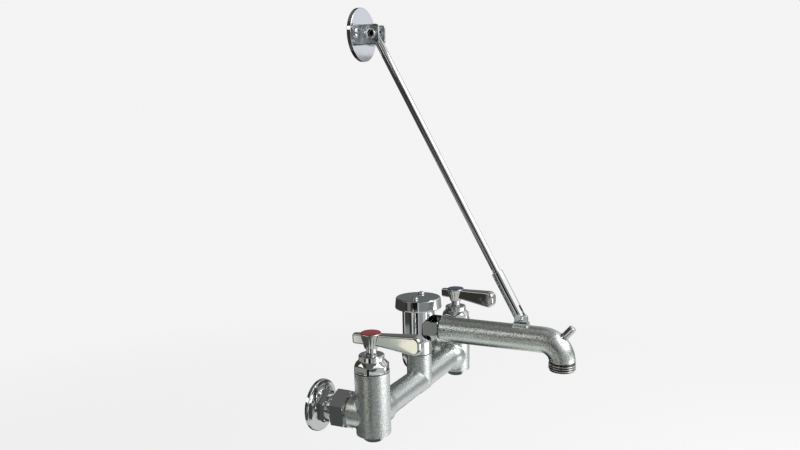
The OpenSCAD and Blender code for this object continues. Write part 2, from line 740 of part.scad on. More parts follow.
// Brace pieces
module brace_lug() color([0.68, 0.7, 0.72]) {
  plate_top = pad_top + lug_plate;
  front = -lug_out - lug_ahead;
  back = -lug_out + lug_behind;
  difference() {
    union() {
      translate([-lug_w / 2, front, pad_top]) cube([lug_w, lug_ahead + lug_behind, lug_plate]);
      translate([-fin_t / 2, 0, 0]) rotate([90, 0, 90]) linear_extrude(height = fin_t) polygon(concat(
        [[back - 0.2, pad_top + 0.5]],
        arc(-lug_out, lug_pin_z, lug_behind - 0.2, 0, 90, 5),
        arc(front + 4.4, lug_pin_z - 2.1, 4.1, 80, 170, 5),
        [[front + 0.3, plate_top + 1], [front + 0.3, pad_top + 0.5]]
      ));
      translate([0, -lug_out - 3, 0]) rod(2.5, pad_top - 3.2, pad_top + 0.5);
    }
    translate([-lug_w, -lug_out, lug_pin_z]) rotate([0, 90, 0]) cylinder(r = brace_pin_r + 0.02, h = 2 * lug_w);
  }
}

module brace_pin() color([0.8, 0.8, 0.8]) translate([0, -lug_out, lug_pin_z]) rotate([0, 90, 0]) {
  rod(brace_pin_r, -sleeve_r - 0.3, sleeve_r + 0.6);
  rod(brace_pin_r + 1.1, -sleeve_r - 1.4, -sleeve_r - 0.3);
}

module brace_sleeve() color([0.8, 0.81, 0.82]) at_brace() difference() {
  rotate_extrude() polygon(concat(
    [for (p = arc(0, 0, 1, -90, 0, 7)) [p[0] * sleeve_r, p[1] * sleeve_end_r]],
    [[sleeve_r, sleeve_len - 0.4], [sleeve_r - 0.4, sleeve_len], [0, sleeve_len]]
  ));
  rod(rod_r + rod_gap, slot_depth + 2.5, sleeve_len + cut);
  translate([-fin_t / 2 - side_gap, -sleeve_d, -sleeve_d]) cube([fin_t + 2 * side_gap, 2 * sleeve_d, sleeve_d + slot_depth]);
  rotate([0, 90, 0]) rod(brace_pin_r + run_gap, -sleeve_d, sleeve_d);
  translate([0, 0, sleeve_len - 8]) rotate([0, 90, 0]) rod(2, 0, sleeve_d);
}

module brace_set_screw() color([0.25, 0.25, 0.26]) at_brace() translate([0, 0, sleeve_len - 8])
  rotate([0, 90, 0]) difference() {
    rod(2 - thread_gap, rod_r + run_gap, sleeve_r - 0.1);
    translate([0, 0, sleeve_r - 0.9]) cylinder(r = 1, h = 2, $fn = 6);
  }

module brace_rod() color([0.8, 0.81, 0.82]) at_brace() difference() {
  union() {
    rod(rod_r, rod_foot, brace_len);
    translate([0, 0, brace_len]) rotate([0, 90, 0]) rod(eye_r, -ear_gap / 2 + 0.3, ear_gap / 2 - 0.3);
  }
  translate([0, 0, brace_len]) rotate([0, 90, 0]) rod(bracket_pin_r + run_gap, -ear_gap, ear_gap);
}

// Bracket, flange and screws, with y away from the wall
module at_flange() translate([0, 0, brace_top_z]) rotate([90, 0, 0]) children();

module bracket_ear() rotate([90, 0, 90]) linear_extrude(height = bracket_t) {
  tall = bracket_h / 2;
  tip = brace_top_out + ear_ahead;
  polygon(concat(
    [[tall, brace_flange_t], [tall, tip - ear_round]],
    arc(tall - ear_round, tip - ear_round, ear_round, 0, 90, 5),
    arc(ear_round - tall, tip - ear_round, ear_round, 90, 180, 5),
    [[-tall, tip - ear_round], [-tall, brace_flange_t]]
  ));
}

module brace_bracket() color([0.6, 0.65, 0.7]) at_flange() difference() {
  union() {
    translate([0, 0, brace_flange_t]) linear_extrude(height = bracket_t) polygon(concat(
      arc(strap_half - strap_round, bracket_h / 2 - strap_round, strap_round, 0, 90, 5),
      arc(strap_round - strap_half, bracket_h / 2 - strap_round, strap_round, 90, 180, 5),
      arc(strap_round - strap_half, strap_round - bracket_h / 2, strap_round, 180, 270, 5),
      arc(strap_half - strap_round, strap_round - bracket_h / 2, strap_round, 270, 360, 5)
    ));
    for (x = [-ear_gap / 2 - bracket_t, ear_gap / 2]) translate([x, 0, 0]) bracket_ear();
  }
  translate([0, 0, brace_top_out]) rotate([0, 90, 0]) rod(bracket_pin_r + 0.02, -ear_gap, ear_gap);
  for (s = [-1, 1]) translate([s * flange_screw_x, 0, 0]) rod(flange_screw_r + 0.2, 0, brace_top_out);
}

module bracket_pin() color([0.5, 0.5, 0.52]) at_flange() translate([0, 0, brace_top_out])
  rotate([0, 90, 0]) {
    half = ear_gap / 2 + bracket_t;
    difference() {
      union() {
        rod(bracket_pin_r, -half, half + 0.6);
        rod(pin_head_r, -half - pin_head_t, -half);
      }
      translate([0, 0, -half - pin_head_t - cut]) cylinder(r = 2.6, h = cut + 1.1, $fn = 6);
    }
  }

module brace_flange() color([0.82, 0.83, 0.85]) at_flange() difference() {
  rotate_extrude() polygon(concat(
    [[brace_flange_d / 2 - 4, 0], [brace_flange_d / 2 - 0.5, 0], [brace_flange_d / 2, 0.5]],
    arc(brace_flange_d / 2 - 0.4, brace_flange_t - 0.4, 0.4, 0, 90, 3),
    [[0, brace_flange_t], [0, brace_flange_t - 2.5], [brace_flange_d / 2 - 4, brace_flange_t - 2.5]]
  ));
  for (s = [-1, 1]) translate([s * flange_screw_x, 0, 0])
    rod(flange_screw_r + thread_gap, -cut, brace_flange_t + cut);
}

module flange_screws() color([0.75, 0.75, 0.72]) at_flange()
  for (s = [-1, 1]) translate([s * flange_screw_x, 0, 0]) difference() {
    rotate_extrude() polygon(concat(
      [[0, flange_screw_foot], [flange_screw_r - 0.4, flange_screw_foot],
       [flange_screw_r, flange_screw_foot + 0.4], [flange_screw_r, screw_seat], [5, screw_seat]],
      arc(0, screw_seat - 4.45, 7.25, 46.5, 80, 4),
      [[0, screw_seat + 2.8]]
    ));
    for (a = [0, 90]) rotate([0, 0, a + 20])
      translate([-2.6, -0.5, screw_seat + 1.4]) cube([5.2, 1, 4]);
  }

chrome = [0.78, 0.79, 0.8];
black = [0.1, 0.1, 0.1];
brass = [0.75, 0.62, 0.3];
white = [0.9, 0.9, 0.88];
nylon = [0.92, 0.9, 0.85];
red = [0.6, 0.05, 0.08];
blue = [0.08, 0.12, 0.4];

module hot_wall_flange() color(chrome) at_inlet(hot) wall_flange();
module cold_wall_flange() color(chrome) at_inlet(cold) wall_flange();
module hot_nut_ring() color(brass) at_inlet(hot) nut_ring();
module cold_nut_ring() color(brass) at_inlet(cold) nut_ring();
module hot_coupling_nut() color(chrome) at_inlet(hot) coupling_nut();
module cold_coupling_nut() color(chrome) at_inlet(cold) coupling_nut();
module hot_inlet_washer() color(black) at_inlet(hot) inlet_washer();
module cold_inlet_washer() color(black) at_inlet(cold) inlet_washer();
module hot_bottom_plug() color(chrome) at_valve(hot) bottom_plug();
module cold_bottom_plug() color(chrome) at_valve(cold) bottom_plug();
module hot_plug_washer() color(black) at_valve(hot) plug_washer();
module cold_plug_washer() color(black) at_valve(cold) plug_washer();
module hot_seat_seal() color(black) at_valve(hot) seat_seal();
module cold_seat_seal() color(black) at_valve(cold) seat_seal();
module hot_cartridge() color(brass) at_valve(hot) cartridge();
module cold_cartridge() color(brass) at_valve(cold) cartridge();
module hot_fixed_disc() color(white) at_valve(hot) fixed_disc();
module cold_fixed_disc() color(white) at_valve(cold) fixed_disc();
module hot_turning_disc() color(nylon) at_handle(hot) turning_disc();
module cold_turning_disc() color(nylon) at_handle(cold) turning_disc();
module hot_stem() color(chrome) at_handle(hot) stem();
module cold_stem() color(chrome) at_handle(cold) stem();
module hot_bonnet_gasket() color(black) at_valve(hot) bonnet_gasket();
module cold_bonnet_gasket() color(black) at_valve(cold) bonnet_gasket();
module hot_bonnet() color(chrome) at_valve(hot) bonnet();
module cold_bonnet() color(chrome) at_valve(cold) bonnet();
module hot_lever() color(chrome) at_handle(hot) lever();
module cold_lever() color(chrome) at_handle(cold) lever();
module hot_handle_screw() color(brass) at_handle(hot) handle_screw();
module cold_handle_screw() color(brass) at_handle(cold) handle_screw();
module hot_index_button() color(red) at_handle(hot) index_button();
module cold_index_button() color(blue) at_handle(cold) index_button();

valve_body();
hot_wall_flange();
cold_wall_flange();
hot_nut_ring();
cold_nut_ring();
hot_coupling_nut();
cold_coupling_nut();
hot_inlet_washer();
cold_inlet_washer();
hot_bottom_plug();
cold_bottom_plug();
hot_plug_washer();
cold_plug_washer();
hot_seat_seal();
cold_seat_seal();
hot_cartridge();
cold_cartridge();
hot_fixed_disc();
cold_fixed_disc();
hot_turning_disc();
cold_turning_disc();
hot_stem();
cold_stem();
hot_bonnet_gasket();
cold_bonnet_gasket();
hot_bonnet();
cold_bonnet();
hot_lever();
cold_lever();
hot_handle_screw();
cold_handle_screw();
hot_index_button();
cold_index_button();
color(black) at_riser() breaker_gasket();
breaker_body();
breaker_float();
float_seal();
breaker_bonnet();
breaker_cap();
cap_screws();
spout_gasket();
spout_nut();
spout();
hose_outlet();
pail_hook();
brace_lug();
brace_pin();
brace_sleeve();
brace_set_screw();
brace_rod();
brace_bracket();
bracket_pin();
brace_flange();
flange_screws();
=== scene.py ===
# %% [markdown]
# # Dressing a wall faucet
#
# The part itself, with its true sizes and joints, comes from a CAD model. This lesson gives it
# its looks: sand cast bodies with soft corners, polished hexagons, fluted lever hubs, real threads,
# and the studio that makes chrome read as chrome. Lengths in this file are written in millimetres
# and turned into metres at the last moment, because that is how a plumber would say them.

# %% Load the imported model
import bpy
import bmesh
import json
import math
from mathutils import Matrix, Vector


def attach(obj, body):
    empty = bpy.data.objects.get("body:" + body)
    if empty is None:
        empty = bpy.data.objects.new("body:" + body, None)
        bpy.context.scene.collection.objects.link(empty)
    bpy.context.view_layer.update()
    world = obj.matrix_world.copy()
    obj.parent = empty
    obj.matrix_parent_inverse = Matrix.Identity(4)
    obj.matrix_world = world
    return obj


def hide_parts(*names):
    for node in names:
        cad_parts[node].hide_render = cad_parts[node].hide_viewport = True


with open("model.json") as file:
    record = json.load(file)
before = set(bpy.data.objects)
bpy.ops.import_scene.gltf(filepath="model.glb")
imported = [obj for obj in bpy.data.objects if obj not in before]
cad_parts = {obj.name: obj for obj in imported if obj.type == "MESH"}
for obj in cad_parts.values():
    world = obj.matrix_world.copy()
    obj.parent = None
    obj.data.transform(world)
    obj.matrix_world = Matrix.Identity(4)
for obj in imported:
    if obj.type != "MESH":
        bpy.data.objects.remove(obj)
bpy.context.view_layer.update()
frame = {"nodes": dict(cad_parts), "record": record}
nodes = frame["nodes"]

# %% [markdown]
# ## The camera
#
# A photo can be matched by eye, or by fitting. Edges whose real places are known, such as the
# ends of the barrels and the ring of the hose thread, were fitted to the picture. The place and the
# lens below are what came out. The picture was cropped off centre, so the lens is shifted a
# little, which moves the frame without turning the camera.

# %% The camera
scene = bpy.context.scene

def linked(name, data):
    """A new object in the scene."""
    obj = bpy.data.objects.new(name, data)
    scene.collection.objects.link(obj)
    return obj

def rotation(degrees, axis):
    """A turn about an axis."""
    return Matrix.Rotation(math.radians(degrees), 4, axis)

lens = bpy.data.cameras.new("studio_camera")
camera = linked("studio_camera", lens)
lens.sensor_width = 36
lens.lens = 31.76
lens.shift_x = -0.0668
lens.shift_y = 0.0832
lens.clip_start, lens.clip_end = 0.01, 50
view_from = Vector((-648.75, -373.12, 259.33)) / 1000
view_along = Vector((0.8989, 0.3784, -0.2208))
roll = rotation(-0.26, "Z")
turned = view_along.to_track_quat("-Z", "Y").to_matrix().to_4x4() @ roll
camera.matrix_world = Matrix.Translation(view_from) @ turned
scene.camera = camera
scene.view_settings.view_transform = "Standard"
print("camera at", [round(v, 3) for v in view_from])

# %% [markdown]
# ## Places
#
# The wall is the plane y = 0, the faucet stands out from it towards -y, and hot is at -x. Each
# group of pieces has a matrix that carries its own z axis: upwards for the valves and the riser,
# out of the wall for what lies down, and along the rod for the brace.

# %% Places, in millimetres
SIDES = {"hot": -1, "cold": 1}
FAUCET = "faucet"
HALF_CENTRES, WALL_TO_VALVE = 101.6, 60
SPOUT_HEIGHT, OUTLET_FORWARD = 59.3, 215.3
BEND, LUG_PIN, BRACKET_PIN = (195.3, 39.3), (170.9, 81), (17, 353.6)
LIE_DOWN = rotation(90, "X")
TO_X = rotation(90, "Y")

def at_valve(side):
    """The axis of a valve, upwards."""
    return Matrix.Translation((side * HALF_CENTRES, -WALL_TO_VALVE, 0))

def at_inlet(side):
    """The axis of an inlet, out of the wall."""
    return Matrix.Translation((side * HALF_CENTRES, 0, 0)) @ LIE_DOWN

AT_RISER = Matrix.Translation((0, -WALL_TO_VALVE, 0))
AT_POCKET = Matrix.Translation((0, -WALL_TO_VALVE, SPOUT_HEIGHT)) @ LIE_DOWN
AT_SPOUT = Matrix.Translation((0, 0, SPOUT_HEIGHT)) @ LIE_DOWN
AT_BEND = Matrix.Translation((0, -BEND[0], BEND[1]))
AT_OUTLET = Matrix.Translation((0, -OUTLET_FORWARD, 0))
brace_out, brace_up = LUG_PIN[0] - BRACKET_PIN[0], BRACKET_PIN[1] - LUG_PIN[1]
BRACE_LEAN, BRACE_LENGTH = math.atan2(brace_out, brace_up), math.hypot(brace_out, brace_up)
AT_BRACE = Matrix.Translation((0, -LUG_PIN[0], LUG_PIN[1])) @ Matrix.Rotation(-BRACE_LEAN, 4, "X")
AT_FLANGE = Matrix.Translation((0, 0, BRACKET_PIN[1])) @ LIE_DOWN
AT_EYE = AT_FLANGE @ Matrix.Translation((0, 0, BRACKET_PIN[0])) @ TO_X

# %% [markdown]
# ## Metal, rubber and enamel
#
# All finishes are built from nodes that read the object's own coordinates, so they stay on the
# piece when a handle turns. Chrome is a mirror with small faults: the polish varies, and the
# plating follows the faint waves of the metal below. The wall flanges, the bonnets and the spout's
# nut are buffed harder, which crowns their faces. The grooves of the hose thread get painted shade:
# its colour darkens towards the axis. A helper makes the parts that every finish shares, and each
# finish then adds its own grain.

# %% A helper for finishes
def finish_named(name, colour, metallic, roughness, **sockets):
    """A material with one Principled shader, and its nodes, links and shader to add to."""
    made = bpy.data.materials.new(name)
    made.use_nodes = True
    shader = made.node_tree.nodes["Principled BSDF"]
    shader.inputs["Base Color"].default_value = (*colour, 1)
    shader.inputs["Metallic"].default_value = metallic
    shader.inputs["Roughness"].default_value = roughness
    for socket, value in sockets.items():
        shader.inputs[socket.replace("_", " ")].default_value = value
    return made, made.node_tree.nodes, made.node_tree.links, shader

def grain(nodes_, links_, scale, detail=3.0, stretch=(1, 1, 1)):
    """Noise in the object's own metres. scale is in waves per metre."""
    place = nodes_.new("ShaderNodeTexCoord")
    stretcher = nodes_.new("ShaderNodeMapping")
    stretcher.inputs["Scale"].default_value = stretch
    noise = nodes_.new("ShaderNodeTexNoise")
    noise.inputs["Scale"].default_value = scale
    noise.inputs["Detail"].default_value = detail
    links_.new(place.outputs["Object"], stretcher.inputs["Vector"])
    links_.new(stretcher.outputs["Vector"], noise.inputs["Vector"])
    return noise.outputs["Fac"]

def spread(nodes_, links_, value, low, high, out_low, out_high):
    """Maps low..high of a value to out_low..out_high, and stops there."""
    ranger = nodes_.new("ShaderNodeMapRange")
    ranger.inputs["From Min"].default_value = low
    ranger.inputs["From Max"].default_value = high
    ranger.inputs["To Min"].default_value = out_low
    ranger.inputs["To Max"].default_value = out_high
    links_.new(value, ranger.inputs["Value"])
    return ranger.outputs["Result"]

def bumped(nodes_, links_, shader, height, strength, distance):
    """Raises the surface by a height, in metres, without changing the mesh."""
    bump = nodes_.new("ShaderNodeBump")
    bump.inputs["Strength"].default_value = strength
    bump.inputs["Distance"].default_value = distance
    links_.new(height, bump.inputs["Height"])
    links_.new(bump.outputs["Normal"], shader.inputs["Normal"])

def two_tone(nodes_, links_, shader, value, dark, light):
    """Colour between two tones by a value."""
    mix = nodes_.new("ShaderNodeMix")
    mix.data_type = "RGBA"
    mix.inputs["A"].default_value = (*dark, 1)
    mix.inputs["B"].default_value = (*light, 1)
    links_.new(value, mix.inputs["Factor"])
    links_.new(mix.outputs["Result"], shader.inputs["Base Color"])

def uneven_gloss(nodes_, links_, shader, value, low, high):
    """Roughness between two bounds by a noise."""
    rough = spread(nodes_, links_, value, 0.3, 0.7, low, high)
    links_.new(rough, shader.inputs["Roughness"])

# %% Chrome: polished, buffed, brushed, threaded and cast
polished, n, l, s = finish_named("polished_chrome", (0.70, 0.71, 0.72), 1, 0.08)
uneven_gloss(n, l, s, grain(n, l, 55, 4), 0.03, 0.08)
bumped(n, l, s, grain(n, l, 60, 1), 0.12, 0.0003)

buffed, n, l, s = finish_named("buffed_chrome", (0.70, 0.71, 0.71), 1, 0.06)
crown = grain(n, l, 75, 0)
uneven_gloss(n, l, s, crown, 0.04, 0.08)
bumped(n, l, s, crown, 1.0, 0.0009)

brushed, n, l, s = finish_named("lever_chrome", (0.72, 0.715, 0.69), 1, 0.1)
strokes = grain(n, l, 420, 4, (1.0, 1.0, 0.05))
uneven_gloss(n, l, s, strokes, 0.07, 0.11)
bumped(n, l, s, strokes, 0.2, 0.00002)

threads, n, l, s = finish_named("thread_chrome", (0.75, 0.75, 0.74), 1, 0.08)
# Painted shade in the grooves: the colour is near black at the root of the thread and bright chrome
# on the crests.
where = n.new("ShaderNodeTexCoord")
from_axis, radius = n.new("ShaderNodeVectorMath"), n.new("ShaderNodeVectorMath")
from_axis.operation, radius.operation = "MULTIPLY_ADD", "LENGTH"
from_axis.inputs[1].default_value = (1, 1, 0)
from_axis.inputs[2].default_value = (0, OUTLET_FORWARD / 1000, 0)
l.new(where.outputs["Object"], from_axis.inputs[0])
l.new(from_axis.outputs["Vector"], radius.inputs[0])
painted_groove_shade = spread(n, l, radius.outputs["Value"], 0.0127, 0.0133, 0, 1)
two_tone(n, l, s, painted_groove_shade, (0.10, 0.10, 0.09), (0.82, 0.82, 0.81))

cast, n, l, s = finish_named("sand_cast_chrome", (0.78, 0.79, 0.77), 1, 0.3)
blotches = grain(n, l, 160, 3)
sand = grain(n, l, 1500, 1)
two_tone(n, l, s, spread(n, l, sand, 0.35, 0.65, 0, 1), (0.60, 0.64, 0.62), (0.97, 1.0, 0.985))
uneven_gloss(n, l, s, blotches, 0.23, 0.29)
bumped(n, l, s, sand, 1.0, 0.00018)

# %% Zinc, brass, rubber, enamel and the hidden materials
zinc, n, l, s = finish_named("blue_zinc", (0.58, 0.62, 0.64), 1, 0.25)
cloud = grain(n, l, 120, 1)
two_tone(n, l, s, spread(n, l, cloud, 0.38, 0.62, 0, 1), (0.56, 0.62, 0.65), (0.92, 0.92, 0.91))
uneven_gloss(n, l, s, cloud, 0.12, 0.3)
bumped(n, l, s, cloud, 1.0, 0.0006)

brass, n, l, s = finish_named("machined_brass", (0.72, 0.52, 0.24), 1, 0.25)
uneven_gloss(n, l, s, grain(n, l, 300, 3), 0.18, 0.34)
bronze, n, l, s = finish_named("spring_bronze", (0.5, 0.32, 0.16), 1, 0.35)
uneven_gloss(n, l, s, grain(n, l, 300, 3), 0.28, 0.42)

rubber, n, l, s = finish_named("black_rubber", (0.018, 0.018, 0.018), 0, 0.7)
bumped(n, l, s, grain(n, l, 900, 3), 0.2, 0.0002)
# This dark finish also paints shade into the key socket of the bracket pin.
dark_steel, n, l, s = finish_named("black_oxide_and_socket_shade", (0.06, 0.06, 0.065), 1, 0.4)
uneven_gloss(n, l, s, grain(n, l, 400, 3), 0.32, 0.5)
ceramic, n, l, s = finish_named("white_ceramic", (0.85, 0.85, 0.83), 0, 0.2)
bumped(n, l, s, grain(n, l, 300, 2), 0.05, 0.0001)
float_plastic, n, l, s = finish_named("moulded_float", (0.8, 0.78, 0.72), 0, 0.45)
bumped(n, l, s, grain(n, l, 500, 2), 0.1, 0.0001)

def enamel(name, deep, bright):
    """Glossy paint on an index button, a little uneven, with a clear coat."""
    made, n_, l_, s_ = finish_named(name, deep, 0, 0.25, Coat_Weight=0.8, Coat_Roughness=0.05)
    two_tone(n_, l_, s_, spread(n_, l_, grain(n_, l_, 160, 3), 0.35, 0.65, 0, 1), deep, bright)
    return made

red_enamel = enamel("red_enamel", (0.20, 0.006, 0.010), (0.30, 0.010, 0.014))
blue_enamel = enamel("blue_enamel", (0.012, 0.02, 0.08), (0.02, 0.03, 0.12))

FINISHES = {
    "polished_chrome": polished, "rough_chrome": cast, "blue_zinc": zinc, "plain_brass": brass,
    "spring_bronze": bronze, "black_rubber": rubber, "dark_steel": dark_steel,
    "white_ceramic": ceramic, "float_plastic": float_plastic,
    "red_button": red_enamel, "blue_button": blue_enamel,
}
for part in frame["record"]["subparts"]:
    mesh = nodes[part["node"]].data
    mesh.materials.clear()
    mesh.materials.append(FINISHES[part["material_slot"]])
print("finishes:", len(FINISHES))

# %% [markdown]
# ## Turning and milling
#
# Almost every polished piece started in a lathe. A turned piece is a profile of radius and height,
# swept round an axis. Real edges are never sharp, and a mirror finish shows it, so a corner in
# a profile may carry a radius, and the helper puts an arc there. The other basic cut is the
# hexagon: bar stock turned first and seen through its six flats, which leaves the curved lines
# where each flat runs into a chamfer. Here the flats limit the radius at each angle, and a point
# is set exactly where a chamfer meets a flat, so that those curves stay crisp.

# %% Profiles, turned pieces and hexagons
# The number of sides of a turned piece
AROUND, WIDE_AROUND, BELL_AROUND, ROD_AROUND, PIN_AROUND, SCREW_AROUND = 96, 128, 160, 80, 64, 48

def soften(points, steps=4):
    """Rounds the corners of an open profile.

    A point is (radius, height) or (radius, height, rounding).
    """
    out = []
    for i, p in enumerate(points):
        if len(p) < 3 or i in (0, len(points) - 1):
            out.append(Vector(p[:2]))
            continue
        here = Vector(p[:2])
        a, b = Vector(points[i - 1][:2]) - here, Vector(points[i + 1][:2]) - here
        half = a.angle(b) / 2
        reach = min(p[2] / math.tan(half), a.length * 0.49, b.length * 0.49)
        start, end = here + a.normalized() * reach, here + b.normalized() * reach
        centre = here + (a.normalized() + b.normalized()).normalized() * (reach / math.cos(half))
        u, v = start - centre, end - centre
        first = math.atan2(u.y, u.x)
        sweep = (math.atan2(v.y, v.x) - first + math.pi) % (2 * math.pi) - math.pi
        for k in range(steps + 1):
            at = first + sweep * k / steps
            out.append(centre + u.length * Vector((math.cos(at), math.sin(at))))
    return out

def shell(name, columns, closed_profile, place):
    """A mesh from columns of (x, y, z) points round an axis, joined into a closed shell."""
    count, rows = len(columns), len(columns[0])
    verts = [(place @ Vector(p)) / 1000 for column in columns for p in column]
    last = rows if closed_profile else rows - 1
    faces = []
    for i in range(count):
        j = (i + 1) % count
        for k in range(last):
            k2 = (k + 1) % rows
            faces.append((i * rows + k, j * rows + k, j * rows + k2, i * rows + k2))
    made = bpy.data.meshes.new(name)
    made.from_pydata(verts, [], faces)
    clean(made)
    return made

def clean(mesh, distance=2e-6):
    """Merges doubled points, drops empty faces and turns every face outwards."""
    work = bmesh.new()
    work.from_mesh(mesh)
    bmesh.ops.remove_doubles(work, verts=work.verts, dist=distance)
    bmesh.ops.dissolve_degenerate(work, edges=work.edges, dist=distance)
    bmesh.ops.recalc_face_normals(work, faces=work.faces)
    work.to_mesh(mesh)
    work.free()

def turned_piece(name, profile, place=Matrix(), around=AROUND, closed=False):
    """A lathe piece about local z."""
    outline = soften(profile)
    columns = []
    for i in range(around):
        a = 2 * math.pi * i / around
        columns.append([(p.x * math.cos(a), p.x * math.sin(a), p.y) for p in outline])
    return shell(name, columns, closed, place)

def cylinder(name, radius, foot, top, place, around=AROUND):
    """A closed cylinder between two heights on local z."""
    profile = [(0, foot), (radius, foot), (radius, top), (0, top)]
    return turned_piece(name, profile, place, around)

def hexagon_piece(name, profile, flats, turn, place, closed=False):
    """A turned piece cut by six flats. turn is the angle of one corner, in degrees."""
    outline = soften(profile)
    widest, inner = max(p.x for p in outline), flats / 2
    corner = inner / math.cos(math.pi / 6)
    angles = [math.radians(turn) + 2 * math.pi * i / AROUND for i in range(AROUND)]
    if inner < widest < corner:
        off = math.acos(inner / widest)
        angles += [math.radians(turn + 30 + 60 * k) + side * off
                   for k in range(6) for side in (-1, 1)]
        angles.sort()
    columns = []
    for a in angles:
        swing = (a - math.radians(turn)) % (math.pi / 3) - math.pi / 6
        limit = inner / math.cos(swing)
        column = []
        for i, p in enumerate(outline):
            column.append((min(p.x, limit), p.y))
            if i + 1 == len(outline):
                break
            q = outline[i + 1]
            low, high = min(p.x, q.x), max(p.x, q.x)
            if high > inner and low < corner:
                if low < limit < high:
                    t = (limit - p.x) / (q.x - p.x)
                    column.append((limit, p.y + (q.y - p.y) * t))
                else:
                    pick = min if low >= limit else max
                    near = pick(q, p, key=lambda end: end.x)
                    column.append((min(near.x, limit), near.y))
        columns.append([(r * math.cos(a), r * math.sin(a), z) for r, z in column])
    return shell(name, columns, closed, place)

# %% [markdown]
# ## From mesh to finished piece
#
# A piece ends as a plain mesh at the origin with smooth faces. Small bevels catch the light on
# every edge, as they do on the real brass. The normals of the big faces are given more
# weight than those of the bevels, so a flat stays flat in its mirror image.

# %% Finishing a piece
def join_meshes(name, meshes):
    """One mesh from several."""
    work = bmesh.new()
    for mesh in meshes:
        work.from_mesh(mesh)
    made = bpy.data.meshes.new(name)
    work.to_mesh(made)
    work.free()
    return made

def apply_modifiers(obj):
    """Turns an object's modifiers into plain mesh."""
    graph = bpy.context.evaluated_depsgraph_get()
    plain = bpy.data.meshes.new_from_object(obj.evaluated_get(graph))
    obj.modifiers.clear()
    obj.data = plain

def show(name, mesh, body, slot, finish=None, stands_for=(), bevel=0.0, angle=28):
    """Puts a mesh in the scene as a finished piece that rides on a body."""
    obj = linked(name, mesh)
    mesh.materials.clear()
    mesh.materials.append(finish or FINISHES[slot])
    for face in mesh.polygons:
        face.use_smooth = True
        face.material_index = 0
    if bevel:
        edge = obj.modifiers.new("soft edges", "BEVEL")
        edge.width = bevel / 1000
        edge.segments = 2
        edge.limit_method = "ANGLE"
        edge.angle_limit = math.radians(angle)
        edge.use_clamp_overlap = True
        edge.miter_outer = "MITER_ARC"
        apply_modifiers(obj)
    obj.data.set_sharp_from_angle(angle=math.radians(50))
    even = obj.modifiers.new("even flats", "WEIGHTED_NORMAL")
    even.keep_sharp = True
    even.weight = 60
    apply_modifiers(obj)
    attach(obj, body)
    if stands_for:
        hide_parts(*stands_for)
    return obj

def copy_of(node, name):
    """The mesh of a CAD node, merged, with its flat faces made whole."""
    made = nodes[node].data.copy()
    made.name = name
    work = bmesh.new()
    work.from_mesh(made)
    bmesh.ops.remove_doubles(work, verts=work.verts, dist=1e-6)
    bmesh.ops.dissolve_limit(
        work, angle_limit=math.radians(0.4), verts=work.verts, edges=work.edges)
    bmesh.ops.recalc_face_normals(work, faces=work.faces)
    work.to_mesh(made)
    work.free()
    return made

# %% [markdown]
# ## The sand casting
#
# The valves, the bar and the riser are one brass casting, and its plating keeps the skin of
# the sand mould. Its mark is that nothing meets at a sharp line: molten metal can't fill one,
# so the pattern maker rounds every inside corner. Plain solids are pushed into each other and
# remeshed into one skin on a fine grid, and the skin is relaxed, which melts the joints
# into fillets. The ends that were machined afterwards are then cut flat, so they keep their
# hard edge against the soft casting.

# %% The casting
BARREL_R, BARREL_TOP, BARREL_DROP = 16.5, 42, 19.2
ARM_R, ARM_BACK = 16.2, 39
BAR_R, FLARE_R = 12.7, 15.3
RISER_R, RISER_FOOT, RISER_TOP = 13.3, 13.5, 30
SPARE = 3
VOXEL = 0.65

def remelted(name, mesh, relax):
    """One skin round overlapping solids, relaxed so that inside corners fill."""
    obj = linked(name, mesh)
    grid = obj.modifiers.new("one skin", "REMESH")
    grid.mode = "VOXEL"
    grid.voxel_size = VOXEL / 1000
    ease = obj.modifiers.new("relax", "SMOOTH")
    ease.factor = 0.5
    ease.iterations = relax
    apply_modifiers(obj)
    made = obj.data
    bpy.data.objects.remove(obj)
    return made

def faced_off(mesh, point, normal, reach):
    """Cuts the mesh flat through a point, only within reach of it, and caps the cut."""
    work = bmesh.new()
    work.from_mesh(mesh)
    point, reach = Vector(point) / 1000, reach / 1000
    faces = [f for f in work.faces if (f.calc_center_median() - point).length < reach]
    edges = {e for f in faces for e in f.edges}
    verts = {v for f in faces for v in f.verts}
    cut = bmesh.ops.bisect_plane(
        work, geom=[*faces, *edges, *verts], plane_co=point, plane_no=Vector(normal),
        clear_outer=True, dist=1e-7)
    rim = [e for e in cut["geom_cut"] if isinstance(e, bmesh.types.BMEdge) and e.is_boundary]
    bmesh.ops.holes_fill(work, edges=rim, sides=0)
    work.to_mesh(mesh)
    work.free()

def riser_mesh():
    """A riser whose foot follows the round underside of the bar."""
    top, columns = RISER_TOP + SPARE, []
    for i in range(AROUND):
        a = 2 * math.pi * i / AROUND
        x, y = RISER_R * math.cos(a), RISER_R * math.sin(a)
        under = [(x * f, y * f, -math.sqrt(RISER_FOOT ** 2 - (y * f) ** 2))
                 for f in (0, 0.35, 0.7, 1)]
        columns.append([*under, (x, y, top), (0, 0, top)])
    return shell("riser", columns, False, AT_RISER)

